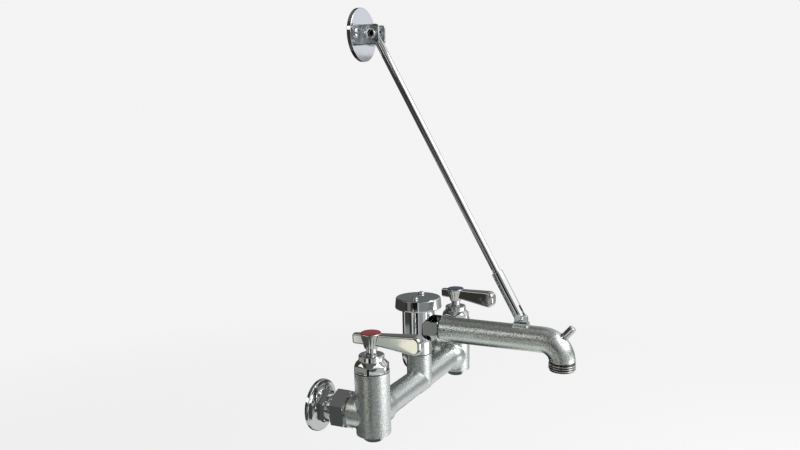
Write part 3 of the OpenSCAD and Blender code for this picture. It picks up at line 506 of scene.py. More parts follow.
def casting_mesh():
    """The whole casting. Ends that are faced off later start a little too long."""
    solids = []
    for side in SIDES.values():
        solids.append(cylinder("barrel", BARREL_R, -BARREL_DROP - SPARE, BARREL_TOP + SPARE,
                               at_valve(side)))
        solids.append(cylinder("arm", ARM_R, ARM_BACK - SPARE, WALL_TO_VALVE, at_inlet(side)))
        toward_middle = at_valve(side) @ rotation(-side * 90, "Y")
        flare = [(0, 0), (FLARE_R, 0), (FLARE_R, 18, 4), (BAR_R, 25.5), (BAR_R, 30), (0, 30)]
        solids.append(turned_piece("flare", flare, toward_middle))
    solids.append(cylinder("bar", BAR_R, -HALF_CENTRES, HALF_CENTRES, AT_RISER @ TO_X))
    solids.append(riser_mesh())
    skin = remelted("casting", join_meshes("casting", solids), relax=14)
    for side in SIDES.values():
        x, y = side * HALF_CENTRES, -WALL_TO_VALVE
        faced_off(skin, (x, y, BARREL_TOP), (0, 0, 1), reach=22)
        faced_off(skin, (x, y, -BARREL_DROP), (0, 0, -1), reach=20)
        faced_off(skin, (x, -ARM_BACK, 0), (0, 1, 0), reach=20)
    faced_off(skin, (0, -WALL_TO_VALVE, RISER_TOP), (0, 0, 1), reach=19)
    return skin

casting = show("casting", casting_mesh(), FAUCET, "rough_chrome", stands_for=["valve_body"])
print("casting triangles:", sum(len(f.vertices) - 2 for f in casting.data.polygons))

# %% [markdown]
# ## Threads
#
# A thread is one ridge wound round a core, so it is made the way a lathe cuts it: a path and
# a shape that follows the path. The node tree below winds a spiral, stands a blunt wedge across
# it and sweeps. Radius, pitch and turns are inputs, so the pipe threads of the inlets and the
# coarser hose thread come from the same tree. A second tree sets a screw twice.

# %% The thread tree and the screw tree
WEDGE_FOOT, WEDGE_CREST = 0.98, 0.16  # shares of the pitch
WEDGE_DEPTH, WEDGE_LIFT, WEDGE_ROUNDING = 1.5, 0.25, 0.33  # shares of the ridge

def new_tree(name, floats):
    """A node tree that takes a mesh, some lengths and a material."""
    tree = bpy.data.node_groups.new(name, "GeometryNodeTree")
    tree.interface.new_socket(name="Geometry", in_out="INPUT", socket_type="NodeSocketGeometry")
    for label in floats:
        tree.interface.new_socket(name=label, in_out="INPUT", socket_type="NodeSocketFloat")
    tree.interface.new_socket(name="Metal", in_out="INPUT", socket_type="NodeSocketMaterial")
    tree.interface.new_socket(name="Geometry", in_out="OUTPUT", socket_type="NodeSocketGeometry")
    return tree, tree.nodes.new("NodeGroupInput"), tree.nodes.new("NodeGroupOutput")

def maths(tree, kind, one, two):
    """A math node on two sockets or numbers."""
    node = tree.nodes.new("ShaderNodeMath")
    node.operation = kind
    for slot_, value in zip(node.inputs, (one, two)):
        if isinstance(value, (int, float)):
            slot_.default_value = value
        else:
            tree.links.new(value, slot_)
    return node.outputs[0]

def finish_tree(tree, made, source, out):
    """Ends a tree: real mesh, with its material."""
    add, wire = tree.nodes.new, tree.links.new
    real, paint = add("GeometryNodeRealizeInstances"), add("GeometryNodeSetMaterial")
    wire(made, real.inputs["Geometry"])
    wire(real.outputs["Geometry"], paint.inputs["Geometry"])
    wire(source.outputs["Metal"], paint.inputs["Material"])
    wire(paint.outputs["Geometry"], out.inputs["Geometry"])
    return tree

def make_thread_tree():
    """Adds a wound thread to the mesh that comes in."""
    lengths = ("Core radius", "Ridge", "Pitch", "Turns", "Start")
    tree, source, out = new_tree("wound thread", lengths)
    add, wire, given = tree.nodes.new, tree.links.new, source.outputs
    path = add("GeometryNodeCurveSpiral")
    path.inputs["Resolution"].default_value = 64
    deep = maths(tree, "MULTIPLY", given["Ridge"], WEDGE_DEPTH)
    lifted = maths(tree, "MULTIPLY", given["Ridge"], WEDGE_LIFT)
    centre = maths(tree, "ADD", given["Core radius"], lifted)
    wire(given["Turns"], path.inputs["Rotations"])
    wire(centre, path.inputs["Start Radius"])
    wire(centre, path.inputs["End Radius"])
    wire(maths(tree, "MULTIPLY", given["Pitch"], given["Turns"]), path.inputs["Height"])
    wedge = add("GeometryNodeCurvePrimitiveQuadrilateral")
    wedge.mode = "TRAPEZOID"
    foot = maths(tree, "MULTIPLY", given["Pitch"], WEDGE_FOOT)
    crest = maths(tree, "MULTIPLY", given["Pitch"], WEDGE_CREST)
    wire(foot, wedge.inputs["Bottom Width"])
    wire(crest, wedge.inputs["Top Width"])
    wire(deep, wedge.inputs["Height"])
    wedge.inputs["Offset"].default_value = 0
    turn = add("GeometryNodeTransform")
    turn.inputs["Rotation"].default_value = (0, 0, math.pi / 2)
    blunt = add("GeometryNodeFilletCurve")
    blunt.mode = "POLY"
    blunt.inputs["Count"].default_value = 3
    blunt.inputs["Limit Radius"].default_value = True
    rounding = maths(tree, "MULTIPLY", given["Ridge"], WEDGE_ROUNDING)
    wire(rounding, blunt.inputs["Radius"])
    wire(wedge.outputs["Curve"], blunt.inputs["Curve"])
    wire(blunt.outputs["Curve"], turn.inputs["Geometry"])
    upright = add("GeometryNodeSetCurveNormal")
    upright.mode = "Z_UP"
    wire(path.outputs["Curve"], upright.inputs["Curve"])
    sweep = add("GeometryNodeCurveToMesh")
    sweep.inputs["Fill Caps"].default_value = True
    wire(upright.outputs["Curve"], sweep.inputs["Curve"])
    wire(turn.outputs["Geometry"], sweep.inputs["Profile Curve"])
    lift = add("GeometryNodeTransform")
    place = add("ShaderNodeCombineXYZ")
    wire(given["Start"], place.inputs["Z"])
    wire(place.outputs["Vector"], lift.inputs["Translation"])
    wire(sweep.outputs["Mesh"], lift.inputs["Geometry"])
    both = add("GeometryNodeJoinGeometry")
    wire(given["Geometry"], both.inputs["Geometry"])
    wire(lift.outputs["Geometry"], both.inputs["Geometry"])
    return finish_tree(tree, both.outputs["Geometry"], source, out)

def make_pair_tree():
    """Sets the mesh that comes in at two places on x, the same distance from the middle."""
    tree, source, out = new_tree("pair of screws", ("From middle",))
    add, wire, given = tree.nodes.new, tree.links.new, source.outputs
    row = add("GeometryNodeMeshLine")
    row.inputs["Count"].default_value = 2
    first, step = (add("ShaderNodeCombineXYZ") for _ in range(2))
    wire(maths(tree, "MULTIPLY", given["From middle"], -1), first.inputs["X"])
    wire(maths(tree, "MULTIPLY", given["From middle"], 2), step.inputs["X"])
    wire(first.outputs["Vector"], row.inputs["Start Location"])
    wire(step.outputs["Vector"], row.inputs["Offset"])
    put = add("GeometryNodeInstanceOnPoints")
    wire(row.outputs["Mesh"], put.inputs["Points"])
    wire(given["Geometry"], put.inputs["Instance"])
    return finish_tree(tree, put.outputs["Instances"], source, out)

THREAD, PAIR = make_thread_tree(), make_pair_tree()

def in_metres(place):
    """The same place for a mesh that is already in metres."""
    scaled = place.copy()
    scaled.translation = place.translation / 1000
    return scaled

def grown(name, mesh, tree, values, metal, place):
    """Runs a mesh through a node tree, then sets it in its place."""
    obj = linked(name, mesh)
    step = obj.modifiers.new(tree.name, "NODES")
    step.node_group = tree
    given = {"Metal": metal, **{label: float(v) for label, v in values.items()}}
    for item in tree.interface.items_tree:
        if item.item_type == "SOCKET" and item.in_out == "INPUT" and item.name in given:
            step[item.identifier] = given[item.name]
    obj.update_tag()
    apply_modifiers(obj)
    made = obj.data
    bpy.data.objects.remove(obj)
    made.transform(in_metres(place))
    return made

def threaded(name, core, radius, ridge, pitch, start, turns, metal, place):
    """A core with a thread wound round it. All lengths in millimetres."""
    values = {"Core radius": radius / 1000, "Ridge": ridge / 1000, "Pitch": pitch / 1000,
              "Start": start / 1000, "Turns": turns}
    return grown(name, turned_piece(name, core, closed=True), THREAD, values, metal, place)

# %% [markdown]
# ## The inlets
#
# Each inlet is a wall flange with its own hexagon and a threaded tail, and a coupling nut that
# pulls the tail against the arm of the casting. All of it is turned from bar, so the flange's
# slope, the chamfers and the lips of the nut are one profile each. The hexagon of a flange and that
# of its nut stand at the same angle, as they do in the photo.

# %% Wall flanges, coupling nuts and arm threads
PIPE_R, WATERWAY_R, TAIL_R, ARM_THREAD_R = 9.75, 7.5, 12.6, 14.2
DISH_R, DISH_WIDTH, DISH_RISE = 22.4, 8.4, 3.4
PIPE_PITCH, HEX_TURN = 1.81, 34

def wall_flange_mesh(place):
    """A dished disc, its hexagon hub and the threaded tail."""
    slope = [(DISH_R - DISH_WIDTH * k / 8, 4 + DISH_RISE * (k / 8) ** 2) for k in range(9)]
    disc = [(PIPE_R, 0), (25.4, 0, 0.5), (25.4, 4, 1.2), *slope, (PIPE_R, 7.4)]
    hub = [(PIPE_R, 7), (18.3, 7), (18.3, 13.2), (16.1, 14.5, 0.4), (PIPE_R, 14.5)]
    tail = [(WATERWAY_R, 13), (TAIL_R, 13), (TAIL_R, 27.2, 0.4), (11.8, 28), (WATERWAY_R, 28)]
    return join_meshes("wall flange", [
        turned_piece("disc", disc, place, WIDE_AROUND, closed=True),
        hexagon_piece("hub", hub, flats=30, turn=HEX_TURN, place=place, closed=True),
        threaded("tail", tail, TAIL_R, ridge=0.62, pitch=PIPE_PITCH, start=15.3, turns=6.2,
                 metal=polished, place=place)])

COUPLING = [(13.4, 22.5), (18.8, 22.5, 0.4), (21.2, 23.94), (21.2, 35.36),
            (18.8, 36.8, 0.4), (15.1, 36.8, 0.3), (15.1, 24.8), (13.4, 24.8)]
ARM_END = [(WATERWAY_R, 29.6), (ARM_THREAD_R, 29.6, 0.5), (ARM_THREAD_R, 39.3), (WATERWAY_R, 39.3)]
for label, side in SIDES.items():
    place = at_inlet(side)
    show(label + "_flange_dressed", wall_flange_mesh(place), FAUCET, "polished_chrome",
         finish=buffed, stands_for=[label + "_wall_flange"])
    coupling = hexagon_piece("coupling", COUPLING, flats=35, turn=HEX_TURN, place=place,
                             closed=True)
    show(label + "_coupling_dressed", coupling, FAUCET, "polished_chrome",
         stands_for=[label + "_coupling_nut"])
    arm = threaded("arm", ARM_END, ARM_THREAD_R, ridge=0.75, pitch=PIPE_PITCH, start=30.6,
                   turns=4.2, metal=polished, place=place)
    show(label + "_arm_thread", arm, FAUCET, "rough_chrome", finish=polished)
print("inlets dressed")

# %% [markdown]
# ## The valves
#
# A bonnet is a hexagon turned down to a round neck, on a thin round lip that presses the gasket.
# The plug below closes the hole through which the barrel was bored. Both are bar stock like the
# nuts.

# %% Bonnets and bottom plugs
BONNET = [(5.06, 42.8), (16.7, 42.8), (16.7, 48.8, 0.5), (12, 53.5, 0.8), (12, 57.8, 0.3),
          (11.2, 58.7, 0.4), (7, 58.7, 0.3), (6.4, 58.1), (5.06, 58.1)]
LIP = [(12, 42.8), (16.5, 42.8, 0.2), (16.5, 44, 0.4), (12, 44)]
PLUG = [(0, -25.8), (8.6, -25.8, 0.3), (10.8, -24.5), (10.8, -19.8), (0, -19.8)]
for label, side in SIDES.items():
    place = at_valve(side)
    bonnet = join_meshes("bonnet", [
        hexagon_piece("hexagon", BONNET, flats=30, turn=17, place=place, closed=True),
        turned_piece("lip", LIP, place, closed=True)])
    show(label + "_bonnet_dressed", bonnet, FAUCET, "polished_chrome", finish=buffed,
         stands_for=[label + "_bonnet"])
    plug = hexagon_piece("plug", PLUG, flats=17, turn=8, place=place)
    show(label + "_plug_dressed", plug, FAUCET, "polished_chrome",
         stands_for=[label + "_bottom_plug"])

# %% [markdown]
# ## The levers
#
# A lever is a die casting: a cup with flutes round it, and a blade that grows towards its end so
# that a wrist or an elbow can push it. The flutes are the trace of a round cutter, so each angle
# asks how far the cutter reaches in, and that keeps their edges sharp. The blade is drawn from its
# side, as one rounded outline. Its faces widen towards the end, and one rounding runs along all
# its edges.

# %% Hub, blade and button
HUB_Z, HUB_TOP = 64.5, 78.8
FLUTED_PART = [(5.9, HUB_Z), (6.45, HUB_Z + 0.5), (7.85, HUB_Z + 6), (9.23, 76)]
RIM = [(9.23, 76), (9.6, 77.4), (9.75, 78), (9.75, 78.5), (9.5, HUB_TOP), (0, HUB_TOP)]
FLUTES, CUTTER_R, CUTTER_OUT = 16, 1.25, 0.8

def hub_mesh(place):
    """A cone with flutes that stop below its rim. The cutter stands a little outside the cone."""
    columns = []
    for flute in range(FLUTES):
        for t in (-1, -0.7, -0.35, 0, 0.35, 0.7, 1):
            column = [(0, 0, HUB_Z)]
            for r, z in FLUTED_PART:
                c = r + CUTTER_OUT
                half = math.acos((r * r + c * c - CUTTER_R * CUTTER_R) / (2 * r * c))
                at = half * t
                chord = math.sqrt(max(0, CUTTER_R ** 2 - (c * math.sin(at)) ** 2))
                depth = c * math.cos(at) - chord
                a = math.radians(360 / FLUTES * (flute + 0.5)) + at
                column.append((depth * math.cos(a), depth * math.sin(a), z))
            for r, z in RIM:
                column.append((r * math.cos(a), r * math.sin(a), z))
            columns.append(column)
    return shell("hub", columns, False, place)

BLADE_SIDE = [(0, 78.46), (49.8, 78.9, 7), (49.8, 59.7, 6.5), (8, 67.3, 30), (-17.4, 68.7, 2.4),
              (-17.4, 78.3, 2), (0, 78.46)]
HEEL, SPAN, HALF_THIN, HALF_WIDE = 14.5, 64, 3.4, 6.8
BOW, BOW_FROM, BOW_LENGTH = 1.6, 38, 11.8
EDGE_R, EDGE_MORE, EDGE_LENGTH = 1.7, 0.9, 9

def blade_mesh(place):
    """A slab whose faces spread towards its bowed end, closed by a rounding along its outline."""
    def half_width(u):
        """Half the thickness at a distance from the stem, towards the end."""
        return HALF_THIN + (HALF_WIDE - HALF_THIN) * (u + HEEL) / SPAN

    def put(side, u, z):
        """A point of the blade, with the end bowed a little in plan."""
        bow = BOW * (side / HALF_WIDE) ** 2 * max(0, (u - BOW_FROM) / BOW_LENGTH)
        return (side, bow - u, z)

    outline = soften(BLADE_SIDE, steps=8)[:-1]
    middle, columns = Vector((24, 71)), []
    for i, p in enumerate(outline):
        along = (outline[(i + 1) % len(outline)] - outline[i - 1]).normalized()
        inward = Vector((along.y, -along.x))
        edge = EDGE_R + EDGE_MORE * min(1, max(0, (p.x - BOW_FROM) / EDGE_LENGTH))
        right = [put(half_width(middle.x), *middle)]
        for k in range(5):
            a = math.radians(22.5 * k)
            q = p + inward * edge * (1 - math.sin(a))
            right.append(put(half_width(q.x) - edge * (1 - math.cos(a)), *q))
        columns.append(right + [(-x, y, z) for x, y, z in reversed(right)])
    return shell("blade", columns, False, place)

BUTTON = [(0, 78.7), (9.5, 78.7), (9.55, 79.3, 0.3), (8.9, 79.8, 0.6), (0, 80.05)]
CLOSED_TURN = {"hot": 10, "cold": -1}
for label, side in SIDES.items():
    place = at_valve(side) @ rotation(CLOSED_TURN[label], "Z")
    body = label + "_handle"
    lever = join_meshes("lever", [hub_mesh(place), blade_mesh(place)])
    show(label + "_lever_dressed", lever, body, "polished_chrome", finish=brushed,
         stands_for=[label + "_lever"])
    show(label + "_button_dressed", turned_piece("button", BUTTON, place), body,
         "red_button" if label == "hot" else "blue_button", stands_for=[label + "_index_button"])
print("valves dressed")

# %% [markdown]
# ## The vacuum breaker
#
# The breaker's body is turned from bar, with a round pocket milled into its side where the
# spout's nut seats, so the cut is made here with a cutter as well. The cap is a spun bell on two
# dome screws. A screw is modelled once, slot and all, and a small node tree sets the pair.

# %% Breaker body, bonnet, cap and screws
def block(x, y, z, place=Matrix()):
    """A box between pairs of limits, as a cutter."""
    made = bpy.data.meshes.new("block")
    corners = [(a, b, c) for a in x for b in y for c in z]
    quads = [(0, 1, 3, 2), (4, 6, 7, 5), (0, 4, 5, 1), (2, 3, 7, 6), (0, 2, 6, 4), (1, 5, 7, 3)]
    made.from_pydata([(place @ Vector(p)) / 1000 for p in corners], [], quads)
    clean(made)
    return made

def carved(mesh, *cutters):
    """Cuts shapes out of a closed mesh."""
    obj = linked("work", mesh)
    tools = [linked("cutter", cutter) for cutter in cutters]
    for tool in tools:
        cut = obj.modifiers.new("cut", "BOOLEAN")
        cut.object, cut.operation, cut.solver = tool, "DIFFERENCE", "EXACT"
    apply_modifiers(obj)
    made = obj.data
    for thing in (obj, *tools):
        bpy.data.objects.remove(thing)
    clean(made)
    return made

shoulder = [(13 + 4 * math.cos(math.radians(a)), 48 + 4 * math.sin(math.radians(a)))
            for a in range(-80, 1, 8)]
BREAKER = [(0, 30.8), (13.4, 30.8, 0.4), (13.4, 44, 0.3), *shoulder, (17, 82, 0.5), (0, 82)]
POCKET = [(0, 9.8), (14.8, 9.8, 0.4), (14.8, 30), (0, 30)]
body_mesh = carved(turned_piece("breaker", BREAKER, AT_RISER, BELL_AROUND),
                   turned_piece("pocket", POCKET, AT_POCKET))
nipple = turned_piece("nipple", [(0, 69), (10.4, 69), (10.4, 78, 0.5), (0, 78)], AT_SPOUT)
show("breaker_dressed", join_meshes("breaker", [body_mesh, nipple]), FAUCET, "polished_chrome",
     stands_for=["breaker_body"], bevel=0.3, angle=40)
show("breaker_bonnet_dressed", copy_of("breaker_bonnet", "breaker bonnet"), FAUCET,
     "polished_chrome", stands_for=["breaker_bonnet"], bevel=0.25, angle=40)
CAP_TOP = 91.2
CAP = [(0, 88.7), (21.6, 88.7, 1), (22.5, 79.7, 0.2), (23.9, 79.7, 0.6), (24.4, 80.9, 0.8),
       (23.5, 90.1, 0.5), (22.6, CAP_TOP, 1), (0, CAP_TOP)]
show("cap_dressed", turned_piece("cap", CAP, AT_RISER, BELL_AROUND), FAUCET, "polished_chrome",
     stands_for=["breaker_cap"])

def dome(radius, base, rim, height):
    """The profile of a screw's round head."""
    curve = [(radius * math.cos(a), base + rim + (height - rim) * math.sin(a))
             for a in (math.pi / 2 * k / 8 for k in range(8))]
    return [(radius, base, 0.15), *curve, (0, base + height)]

CAP_SCREW = [(0, 89), (1.4, 89), (1.4, CAP_TOP), *dome(3.4, CAP_TOP, 0.5, 3)]
AT_CAP_SCREWS = AT_RISER @ rotation(11, "Z")
cap_screw = carved(turned_piece("screw", CAP_SCREW, around=SCREW_AROUND),
                   block((-5, 5), (-0.45, 0.45), (93, 96)))
cap_screws = grown("cap screws", cap_screw, PAIR, {"From middle": 0.013}, polished, AT_CAP_SCREWS)
show("cap_screws_dressed", cap_screws, FAUCET, "polished_chrome", stands_for=["cap_screws"])
print("breaker dressed")

# %% [markdown]
# ## The spout
#
# The spout is cast round a sand core. A copy of its solid, bore and all, is melted the same
# way as the valve casting, so that the pad under the lug runs into the tube. The peg for a pail is
# turned and set into the bend, and the outlet ring carries the hose thread, 11.5 turns to the inch.

# %% Spout, nut, peg and hose thread
show("spout_dressed", remelted("spout", copy_of("spout", "spout copy"), relax=8), FAUCET,
     "rough_chrome", stands_for=["spout"])
NUT = [(8, 70.3), (12.8, 70.3, 0.3), (14.8, 71.5), (14.8, 85.3), (12.8, 86.5, 0.3), (8, 86.5)]
spout_nut = hexagon_piece("spout nut", NUT, flats=24, turn=21, place=AT_SPOUT, closed=True)
show("spout_nut_dressed", spout_nut, FAUCET, "polished_chrome", finish=buffed,
     stands_for=["spout_nut"])
OUTLET = [(9, 30.5), (12.1, 30.5, 0.3), (12.5, 31.1), (12.5, 38.9), (13.2, 39.25), (9, 39.3)]
HOSE_PITCH = 2.209
outlet = threaded("outlet", OUTLET, radius=12.5, ridge=0.95, pitch=HOSE_PITCH, start=31.6,
                  turns=3.1, metal=threads, place=AT_OUTLET)
show("hose_thread_dressed", outlet, FAUCET, "polished_chrome", finish=threads,
     stands_for=["hose_outlet"])
PEG = [(0, 31), (5, 31), (4.5, 33.2), (3.9, 34.6, 1.5), (3.9, 45.2, 0.5), (3.0, 46.2, 0.4),
       (0, 46.2)]
AT_PEG = AT_BEND @ rotation(40.5, "X")
show("peg_dressed", turned_piece("peg", PEG, AT_PEG, PIN_AROUND), FAUCET, "polished_chrome",
     stands_for=["pail_hook"])
print("spout dressed")

# %% [markdown]
# ## The wall brace
#
# The brace takes the weight of a full pail back to the wall. The lug and the bracket are stamped
# and only need their edges broken. The sleeve is turned, then slit by a wide cutter, and the rod
# ends in a cross eye. The pin of the bracket has a recess for a hexagon key, painted black as
# shade.

# %% Lug, sleeve, rod, bracket and flange
show("lug_dressed", copy_of("brace_lug", "lug"), FAUCET, "polished_chrome",
     stands_for=["brace_lug"], bevel=0.45)
show("lug_pin_dressed", copy_of("brace_pin", "lug pin"), FAUCET, "polished_chrome",
     stands_for=["brace_pin"], bevel=0.25)
SLEEVE_R = 5.75
round_end = [(SLEEVE_R * math.sin(math.radians(a)), -5.6 * math.cos(math.radians(a)))
             for a in range(0, 91, 9)]
SLEEVE = [*round_end, (SLEEVE_R, 49, 0.5), (0, 49)]
slit = block((-2.6, 2.6), (-12, 12), (-12, 10), AT_BRACE)
bore = cylinder("bore", radius=4.03, foot=12.5, top=52, place=AT_BRACE, around=ROD_AROUND)
pin_hole = cylinder("pin hole", radius=2.05, foot=-9, top=9, place=AT_BRACE @ TO_X,
                    around=SCREW_AROUND)
sleeve = carved(turned_piece("sleeve", SLEEVE, AT_BRACE, ROD_AROUND), slit, bore, pin_hole)
show("sleeve_dressed", sleeve, "sleeve", "polished_chrome", stands_for=["brace_sleeve"],
     bevel=0.3, angle=40)
ROD = [(0, 24), (3.97, 24, 0.8), (3.97, BRACE_LENGTH - 4), (0, BRACE_LENGTH - 4)]
EYE = [(2.6, -5.2), (5.2, -5.2, 0.5), (5.2, 5.2, 0.5), (2.6, 5.2)]
AT_ROD_END = AT_BRACE @ Matrix.Translation((0, 0, BRACE_LENGTH)) @ TO_X
rod = join_meshes("rod", [turned_piece("rod", ROD, AT_BRACE, ROD_AROUND),
                          turned_piece("eye", EYE, AT_ROD_END, PIN_AROUND, closed=True)])
show("rod_dressed", rod, "rod", "polished_chrome", stands_for=["brace_rod"])
show("bracket_dressed", copy_of("brace_bracket", "bracket"), "wall_bracket", "blue_zinc",
     stands_for=["brace_bracket"], bevel=0.4)
PIN = [(0, -8.9), (4.8, -8.9, 0.6), (4.8, -7.5), (2.5, -7.5), (2.5, 8.1, 0.4), (0, 8.1)]
SOCKET = [(0, -12), (3.6, -12), (3.6, -8.6), (2.4, -7), (2.4, -1), (0, -0.4)]
PAINTED_SHADE_WITHIN = 3.1
pin = show("bracket_pin_dressed",
           carved(turned_piece("pin", PIN, AT_EYE, PIN_AROUND),
                  hexagon_piece("socket", SOCKET, flats=6.4, turn=10, place=AT_EYE)),
           "wall_bracket", "blue_zinc", stands_for=["bracket_pin"])
# Painted shade: faces near the pin's axis, inside its key socket, take the black finish so the
# recess reads dark.
pin.data.materials.append(dark_steel)
for face in pin.data.polygons:
    _, across, up = face.center * 1000 - AT_EYE.translation
    face.material_index = int(math.hypot(across, up) < PAINTED_SHADE_WITHIN)
DISC = [(0, 2), (21.4, 2), (21.4, 0), (25, 0), (25.4, 0.5, 0.3), (25.4, 4.5, 0.5), (0, 4.5)]
show("brace_flange_dressed", turned_piece("brace flange", DISC, AT_FLANGE, WIDE_AROUND),
     "wall_bracket", "polished_chrome", stands_for=["brace_flange"])
cross = [block((-2.6, 2.6), (-0.5, 0.5), (7.9, 12), rotation(a, "Z"))
         for a in (20, 110)]
FLANGE_SCREW = [(0, 0.7), (2.4, 0.7), (2.4, 6.5), *dome(5, 6.5, 0.8, 2.8)]
flange_screw = carved(turned_piece("screw", FLANGE_SCREW, around=SCREW_AROUND), *cross)
flange_screws = grown("flange screws", flange_screw, PAIR, {"From middle": 0.0185}, zinc, AT_FLANGE)
show("flange_screws_dressed", flange_screws, "wall_bracket", "blue_zinc",
     stands_for=["flange_screws"])
print("brace dressed")

# %% [markdown]
# ## The studio
#
# Chrome has no colour of its own, so its look is the room. The photo shows a dark room with one
# wide white panel in front of the faucet and a grey wall to the right. Those are set up here as
# curved cards that only mirrors see, and flat ones that stand for the table below. The camera sees
# an even pale background, and a floor that mirrors don't see.

# %% The studio
world = bpy.data.worlds.new("studio")
scene.world = world
world.use_nodes = True
wn, wl = world.node_tree.nodes, world.node_tree.links
sky = wn["Background"]
sky.inputs["Strength"].default_value = 1.0
ray = wn.new("ShaderNodeLightPath")
seen, sharp = wn.new("ShaderNodeMath"), wn.new("ShaderNodeMath")
wl.new(ray.outputs["Is Camera Ray"], seen.inputs[0])
wl.new(ray.outputs["Is Glossy Ray"], seen.inputs[1])
wl.new(seen.outputs[0], sharp.inputs[0])
wl.new(ray.outputs["Is Transmission Ray"], sharp.inputs[1])
sharp.use_clamp = True
tones = wn.new("ShaderNodeMix")
tones.data_type = "RGBA"
tones.inputs["A"].default_value = (0.86, 0.86, 0.86, 1)
tones.inputs["B"].default_value = (0.9, 0.9, 0.9, 1)
wl.new(sharp.outputs[0], tones.inputs["Factor"])
wl.new(tones.outputs["Result"], sky.inputs["Color"])

# The cards stand round the middle of the faucet. Where two overlap, their distances differ.
FLOOR_Z, MIDDLE_Y, MIDDLE_Z = -0.3, -0.1, 0.1
IN_FRONT, BEHIND, OVERHEAD, STRIP = 2.48, 2.52, 2.6, 2.3
TABLE_LIFT, SMALL_LIFT, SMALL = 0.01, 0.012, 0.7

def card(name, start, end, low, high, level, radius=2.5):
    """A curved card round the faucet, seen in mirrors only.

    Angles run from +X towards +Y, then upwards, in degrees. level is a brightness or a colour.
    """
    glow_colour = level if isinstance(level, tuple) else (level, level, level)
    steps, rises = max(2, int((end - start) / 6)), max(1, int((high - low) / 7))
    verts, faces = [], []
    for k in range(steps + 1):
        a = math.radians(start + (end - start) * k / steps)
        for j in range(rises + 1):
            e = math.radians(low + (high - low) * j / rises)
            reach, up = radius * math.cos(e), radius * math.sin(e)
            verts.append((reach * math.cos(a), reach * math.sin(a) + MIDDLE_Y, up + MIDDLE_Z))
    for k in range(steps):
        for j in range(rises):
            one = k * (rises + 1) + j
            faces.append((one, one + rises + 1, one + rises + 2, one + 1))
    mesh = bpy.data.meshes.new(name)
    mesh.from_pydata(verts, [], faces)
    glow, n_, l_, s_ = finish_named(name, (0, 0, 0), 0, 1)
    s_.inputs["Specular IOR Level"].default_value = 0
    s_.inputs["Emission Color"].default_value = (*glow_colour, 1)
    s_.inputs["Emission Strength"].default_value = 1
    mesh.materials.append(glow)
    obj = linked(name, mesh)
    obj.visible_camera = obj.visible_diffuse = obj.visible_shadow = obj.visible_transmission = False
    return obj

def table(name, start, end, inner, outer, level):
    """A flat card just above the floor, seen in mirrors only. Small ones lie on large ones."""
    made = card(name, start, end, 0, 0, level)
    steps = len(made.data.vertices) // 2 - 1
    for k, v in enumerate(made.data.vertices):
        a = math.radians(start + (end - start) * (k // 2) / steps)
        reach = outer if k % 2 else inner
        height = FLOOR_Z + (SMALL_LIFT if outer < SMALL else TABLE_LIFT)
        v.co = (reach * math.cos(a), reach * math.sin(a) + MIDDLE_Y, height)

card("dark_left", 16, 84, -35, 50, (0.05, 0.05, 0.046), radius=BEHIND)
card("slate_left", 16, 60, 4, 30, (0.15, 0.16, 0.16))
card("thin_light", 84, 91, -35, -14, 0.85)
card("grey_behind", 91, 138, -35, -16, (0.3, 0.305, 0.3))
card("dark_behind", 84, 138, -16, 50, (0.055, 0.055, 0.05), radius=BEHIND)
card("dark_gap", 138, 156, -35, 50, (0.04, 0.042, 0.038))
card("thin_panel", 156, 162, -24, -2, (0.9, 0.9, 0.86))
card("half_lit_panel", 162, 167, -24, -11, (0.43, 0.48, 0.455))
card("ivory_panel", 167, 178, -24, -11, (1.16, 1.12, 0.98))
card("mid_panel", 150, 166, -6, 8, (0.22, 0.22, 0.21), radius=IN_FRONT)
card("over_ivory", 156, 178, -11, 50, 0.04, radius=BEHIND)
card("black_camera_side", 178, 201, -35, 50, 0.01)
card("thin_grey", 201, 208, -35, 50, 0.55)
card("grey_left", 208, 258, -8, 14, (0.27, 0.28, 0.28))
card("rising_grey", 208, 236, -35, -8, (0.36, 0.37, 0.37))
card("light_grey", 236, 258, -35, -8, (0.6, 0.61, 0.61))
card("white_panel", 258, 306, -38, -6, 2.2)
card("white_edge", 306, 325, -38, -6, 0.55)
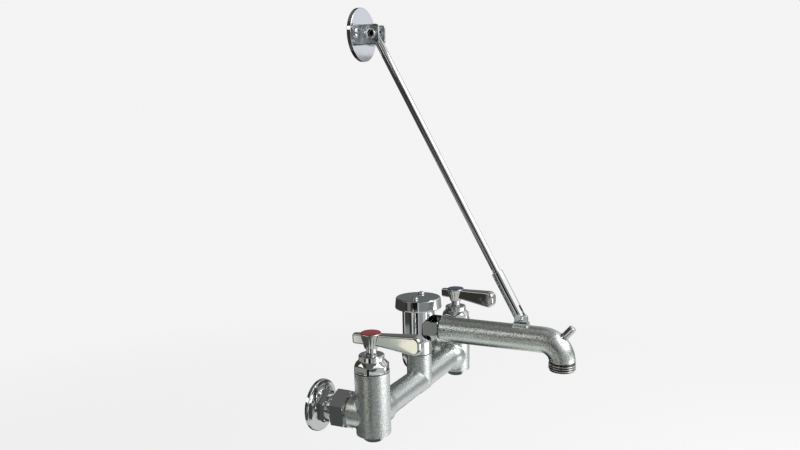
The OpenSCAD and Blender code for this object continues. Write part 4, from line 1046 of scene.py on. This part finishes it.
card("dark_band", 258, 325, -6, 14, 0.2)
card("high_panel", 226, 325, 14, 50, 1.25)
card("high_left", 208, 226, 14, 50, 0.2)
card("low_grey", 325, 348, -35, 11, (0.34, 0.35, 0.35))
card("lavender_wall", 325, 348, 11, 26, (0.86, 0.87, 0.94))
card("above_grey", 325, 348, 26, 50, 0.7)
card("far_right", 348, 376, -35, 50, (0.4, 0.41, 0.4))
card("ceiling", 0, 360, 50, 74, (0.14, 0.14, 0.135), radius=OVERHEAD)
card("zenith", 0, 360, 74, 89.5, (0.4, 0.4, 0.39), radius=OVERHEAD)
card("soft_strip", 105, 176, 22, 34, (1.6, 1.6, 1.55), radius=STRIP)
table("dark_table", 16, 262, 0.42, 0.9, (0.08, 0.085, 0.08))
table("lit_table", 112, 262, 0, 0.44, (0.6, 0.63, 0.61))
table("black_table", 16, 112, 0, 0.6, 0.012)
table("pale_table", 262, 376, 0, 0.9, 0.7)

lamp = bpy.data.lights.new("key_light", "AREA")
lamp.shape = "RECTANGLE"
lamp.size, lamp.size_y = 1.1, 0.9
lamp.energy = 16
key_light = linked("key_light", lamp)
key_light.location = (0.3, -1.7, 1.5)
aim = Vector((0, MIDDLE_Y, MIDDLE_Z)) - key_light.location
key_light.rotation_euler = aim.to_track_quat("-Z", "Y").to_euler()

# %% The floor
ground = bpy.data.meshes.new("floor")
corners = [(-4, -4, FLOOR_Z), (4, -4, FLOOR_Z), (4, 4, FLOOR_Z), (-4, 4, FLOOR_Z)]
ground.from_pydata(corners, [], [(0, 1, 2, 3)])
floor = linked("floor", ground)
pale, n, l, s = finish_named("pale_floor", (0.88, 0.88, 0.88), 0, 0.9)
s.inputs["Specular IOR Level"].default_value = 0
where = n.new("ShaderNodeTexCoord")
far = n.new("ShaderNodeVectorMath")
far.operation = "LENGTH"
l.new(where.outputs["Object"], far.inputs[0])
l.new(spread(n, l, far.outputs["Value"], 0.5, 1.5, 1, 0), s.inputs["Alpha"])
ground.materials.append(pale)
floor.visible_glossy = False
